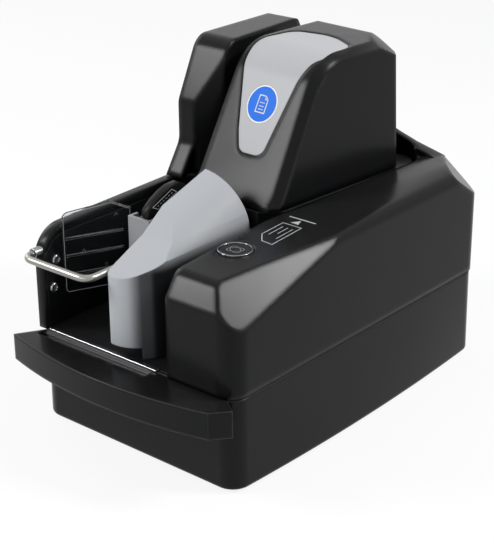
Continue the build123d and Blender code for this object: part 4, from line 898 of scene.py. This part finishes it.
def blacken_above(material, dark, height):
    """The arch is moulded in black above that height, in mm above the desk; its edges stay a little paler.
    """
    tree, mix = laid_over(material, dark)
    place = add(tree, "TexCoord")
    split = add(tree, "SeparateXYZ")
    share = add(tree, "MapRange", from_min=height / 1000, from_max=(height + 0.2) / 1000, to_max=0.92)
    wire(tree, [(place, "Object", split, 0), (split, "Z", share, "Value"), (share, 0, mix, 0)])


blacken_above(cradle_grey, (0.012, 0.0125, 0.014), 116.4)
dress("ink_cradle", cradle_grey, edge=0.35)
cartridge_black = plastic("cartridge_black", (0.006, 0.006, 0.007), 0.24, depth=0.08, specular=0.2)
dress("ink_cartridge", cartridge_black, edge=0.3)
latch_black = plastic("latch_black", (0.0045, 0.0047, 0.0052), 0.34, depth=0.10, specular=0.08,
                      dusty=0.02, wear_and_highlight=0.1)
dress("cartridge_latch", latch_black, edge=0.35)
dress("latch_pin", turned_steel)
crown_edge = [(-70.5, 115.2), (-69.4, 119.0), (-64.0, 123.0), (-57.5, 126.4), (-51.0, 128.4), (-44.5, 128.6),
              (-40.2, 126.2), (-38.2, 121.6), (-44.0, 121.5), (-54.0, 120.6), (-62.5, 116.6)]
crown_left = -29.9
crown_right = -24.6
crown_round = 0.4


def crown():
    """Arched finger grip on top of the latch."""
    middle = Vector((sum(y for y, z in crown_edge), sum(z for y, z in crown_edge))) / len(crown_edge)
    rings = []
    for x, share in ((crown_left, 0.97), (crown_left + crown_round, 1.0),
                     (crown_right - crown_round, 1.0), (crown_right, 0.97)):
        rings.append([at(x, middle.x + share * (y - middle.x), middle.y + share * (z - middle.y))
                      for y, z in crown_edge])
    return ringed(rings)


latch_grip = piece("latch_grip", [crown()], latch_black, "cartridge_latch", smooth=40.0)
latch_side = Ground(latch_grip, (0, 1, 0), (0, 0, 1), (-1, 0, 0), at(-10.0, 0, 0))
label_edge = [(-66.4, 120.2), (-62.2, 118.0), (-47.4, 123.8), (-51.2, 126.4)]
label_dots = 6


def label_marks():
    """Outlined panel on the latch's side with a row of dots along its middle."""
    shapes = [stroke(latch_side, label_edge, 0.35, closed=True)]
    start = (Vector(label_edge[0]) + Vector(label_edge[1])) / 2
    end = (Vector(label_edge[2]) + Vector(label_edge[3])) / 2
    for i in range(label_dots):
        share = (i + 1) / (label_dots + 1)
        middle = start.lerp(end, share)
        step = (end - start).normalized() * 0.5
        shapes.append(stroke(latch_side, [middle - step, middle + step], 0.4))
    return shapes


piece("latch_label", label_marks(), pale_ink, "cartridge_latch")

# ---- centre cover with its badge ----
# Tall black cover that lifts off two posts. A satin grey plate is let into its raked front, and a
# blue disc with a pale rim is let into the plate; the sign on it is a plain sheet of paper.
dress("inner_cover", casing_black, edge=0.5, segments=3)
badge_grey = plastic("badge_grey", (0.43, 0.435, 0.45), 0.34, depth=0.05, dusty=0.02, wear_and_highlight=0.1,
                     wear_and_highlight_colour=(0.6, 0.6, 0.62), specular=0.12, rounding=0.8)
dress("badge_inlay", badge_grey, edge=0.35)
disc_blue = plastic("disc_blue", (0.012, 0.16, 0.74), 0.24, depth=0.03, dusty=0.0, wear_and_highlight=0.05,
                    wear_and_highlight_colour=(0.10, 0.28, 0.80), specular=0.03)
dress("badge_disc", disc_blue)
rim_white = plastic("rim_white", (0.66, 0.68, 0.70), 0.28, depth=0.03, dusty=0.0, wear_and_highlight=0.1,
                    wear_and_highlight_colour=(0.7, 0.7, 0.72))
dress("badge_ring", rim_white)


def disc_face():
    """Middle, right, up and outward directions of the disc's front."""
    mesh = nodes["badge_disc"].data
    outward = sum((face.normal * face.area for face in mesh.polygons
                   if face.normal.y < -0.2 and face.normal.z > 0.2), Vector((0, 0, 0))).normalized()
    right = Vector((0, 0, 1)).cross(outward).normalized()
    low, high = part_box("badge_disc")
    return (Vector(low) + Vector(high)) / 2, right, outward.cross(right), outward


disc_middle, disc_right, disc_up, disc_out = disc_face()
disc = Ground(nodes["badge_disc"], disc_right, disc_up, -disc_out, disc_middle + disc_out * 0.02)
sheet_edge = [(-3.3, -4.8), (-3.3, 4.8), (1.3, 4.8), (3.3, 2.8), (3.3, -4.8)]
sheet_fold = [(1.3, 4.8), (1.3, 2.8), (3.3, 2.8)]
sheet_lines = [[(-1.8, v), (1.8, v)] for v in (0.8, -1.2, -3.0)]
sign = [stroke(disc, sheet_edge, 0.7, closed=True), stroke(disc, sheet_fold, 0.5)]
sign += [stroke(disc, line, 0.5) for line in sheet_lines]
piece("disc_sign", sign, printed_ink("white_ink", (0.72, 0.74, 0.76)), "inner_cover")

# ---- outer cover ----
# Black cover over the return leg of the track; it swings out on two steel pins along its left edge.
dress("outer_cover", casing_black, edge=0.6, segments=3)
dress("outer_hinge_pins", turned_steel)

# ---- stage ----
# Pale seamless floor, soft lamps round the object and the camera.


glow_share = 0.86


def floor_surface():
    """Pale matt paper with a faint tooth, a little lifted where it is seen."""
    material, tree, shader = new_material("paper")
    tooth = add(tree, "TexNoise", scale=60.0, detail=4.0)
    tone = add(tree, "MapRange", to_min=0.86, to_max=0.9)
    merge = add(tree, "CombineColor")
    wire(tree, [(tooth, 0, tone, "Value")])
    wire(tree, [(tone, 0, merge, channel) for channel in range(3)])
    wire(tree, [(merge, 0, shader, "Base Color")])
    shader.inputs["Roughness"].default_value = 0.9
    shader.inputs["Specular IOR Level"].default_value = 0.1
    glow = add(tree, "Emission", color=(1, 1, 1, 1), strength=1.0)
    share = add(tree, "Math", operation="MULTIPLY")
    share.inputs[1].default_value = glow_share
    mix = add(tree, "MixShader")
    wire(tree, [(seen_directly(tree), 0, share, 0), (share, 0, mix, 0), (shader, 0, mix, 1),
                (glow, 0, mix, 2)])
    tree.links.new(mix.outputs[0], tree.nodes["Material Output"].inputs["Surface"])
    return material


def seen_directly(tree):
    """Node that gives 1 for rays from the camera, off a glossy surface or through a clear one."""
    path = add(tree, "LightPath")
    first = add(tree, "Math", operation="MAXIMUM")
    second = add(tree, "Math", operation="MAXIMUM")
    wire(tree, [(path, "Is Camera Ray", first, 0), (path, "Is Glossy Ray", first, 1),
                (first, 0, second, 0), (path, "Is Transmission Ray", second, 1)])
    return second


def floor():
    mesh = bpy.data.meshes.new("floor")
    reach = 6.0
    mesh.from_pydata([(-reach, -reach, 0), (reach, -reach, 0), (reach, reach, 0), (-reach, reach, 0)],
                     [], [(0, 1, 2, 3)])
    mesh.materials.append(floor_surface())
    plane = bpy.data.objects.new("floor", mesh)
    bpy.context.scene.collection.objects.link(plane)


lit_middle = Vector((0.0, 0.0, 0.09))


def lamp(name, direction, distance, width, height, power):
    """Soft rectangular lamp that faces the object's middle from that direction."""
    light = bpy.data.lights.new(name, "AREA")
    light.shape = "RECTANGLE"
    light.size = width
    light.size_y = height
    light.energy = power
    holder = bpy.data.objects.new(name, light)
    away = Vector(direction).normalized()
    holder.location = lit_middle + away * distance
    holder.rotation_mode = "QUATERNION"
    holder.rotation_quaternion = (-away).to_track_quat("-Z", "Y")
    bpy.context.scene.collection.objects.link(holder)


floor()
# Name, direction from the object, distance, width, height and power.
for settings in (("overhead", (-0.05, 0.15, 1.0), 1.4, 1.1, 1.0, 1.4),
                 ("right_rear", (0.642, 0.372, 0.671), 1.2, 0.26, 0.26, 10.5),
                 ("left_front", (-0.593, -0.603, 0.532), 1.2, 0.34, 0.34, 8.4),
                 ("left_rear", (-0.92, 0.12, 0.38), 1.2, 0.6, 0.6, 2.5),
                 ("front_strip", (0.1, -0.9, 0.35), 1.2, 0.9, 0.12, 2.6),
                 ("right_strip", (0.98, 0.15, 0.1), 1.2, 0.9, 0.08, 1.6)):
    lamp(*settings)


def room():
    """Pale surroundings: white where they are seen, softer as a light."""
    world = bpy.data.worlds.new("room")
    bpy.context.scene.world = world
    world.use_nodes = True
    tree = world.node_tree
    soft = tree.nodes["Background"]
    soft.inputs["Color"].default_value = (0.96, 0.98, 1.0, 1)
    soft.inputs["Strength"].default_value = 0.25
    pale = add(tree, "Background", color=(1, 1, 1, 1), strength=1.0)
    mix = add(tree, "MixShader")
    wire(tree, [(seen_directly(tree), 0, mix, 0), (soft, 0, mix, 1), (pale, 0, mix, 2)])
    tree.links.new(mix.outputs[0], tree.nodes["World Output"].inputs["Surface"])


room()


camera_place = (0.49597, -0.59104, 0.40790)
camera_turns = (40.279, 23.478, -0.387)
frame_height = 544
focal_length = 1492.712


def camera():
    """Long lens from the front right. Turns are azimuth, elevation and roll in degrees; the focal
    length is in pixels of the frame's height."""
    azimuth, elevation, roll = (math.radians(a) for a in camera_turns)
    back = Vector((math.sin(azimuth) * math.cos(elevation), -math.cos(azimuth) * math.cos(elevation),
                   math.sin(elevation)))
    right = Vector((math.cos(azimuth), math.sin(azimuth), 0))
    up = back.cross(right)
    side = math.cos(roll) * right + math.sin(roll) * up
    top = -math.sin(roll) * right + math.cos(roll) * up
    data = bpy.data.cameras.new("camera")
    data.sensor_width = 36.0
    data.lens = focal_length * data.sensor_width / frame_height
    data.clip_start = 0.02
    holder = bpy.data.objects.new("camera", data)
    spin = Matrix((side, top, back)).transposed().to_4x4()
    holder.matrix_world = Matrix.Translation(camera_place) @ spin
    bpy.context.scene.collection.objects.link(holder)
    bpy.context.scene.camera = holder


camera()
bpy.context.scene.view_settings.view_transform = "Standard"
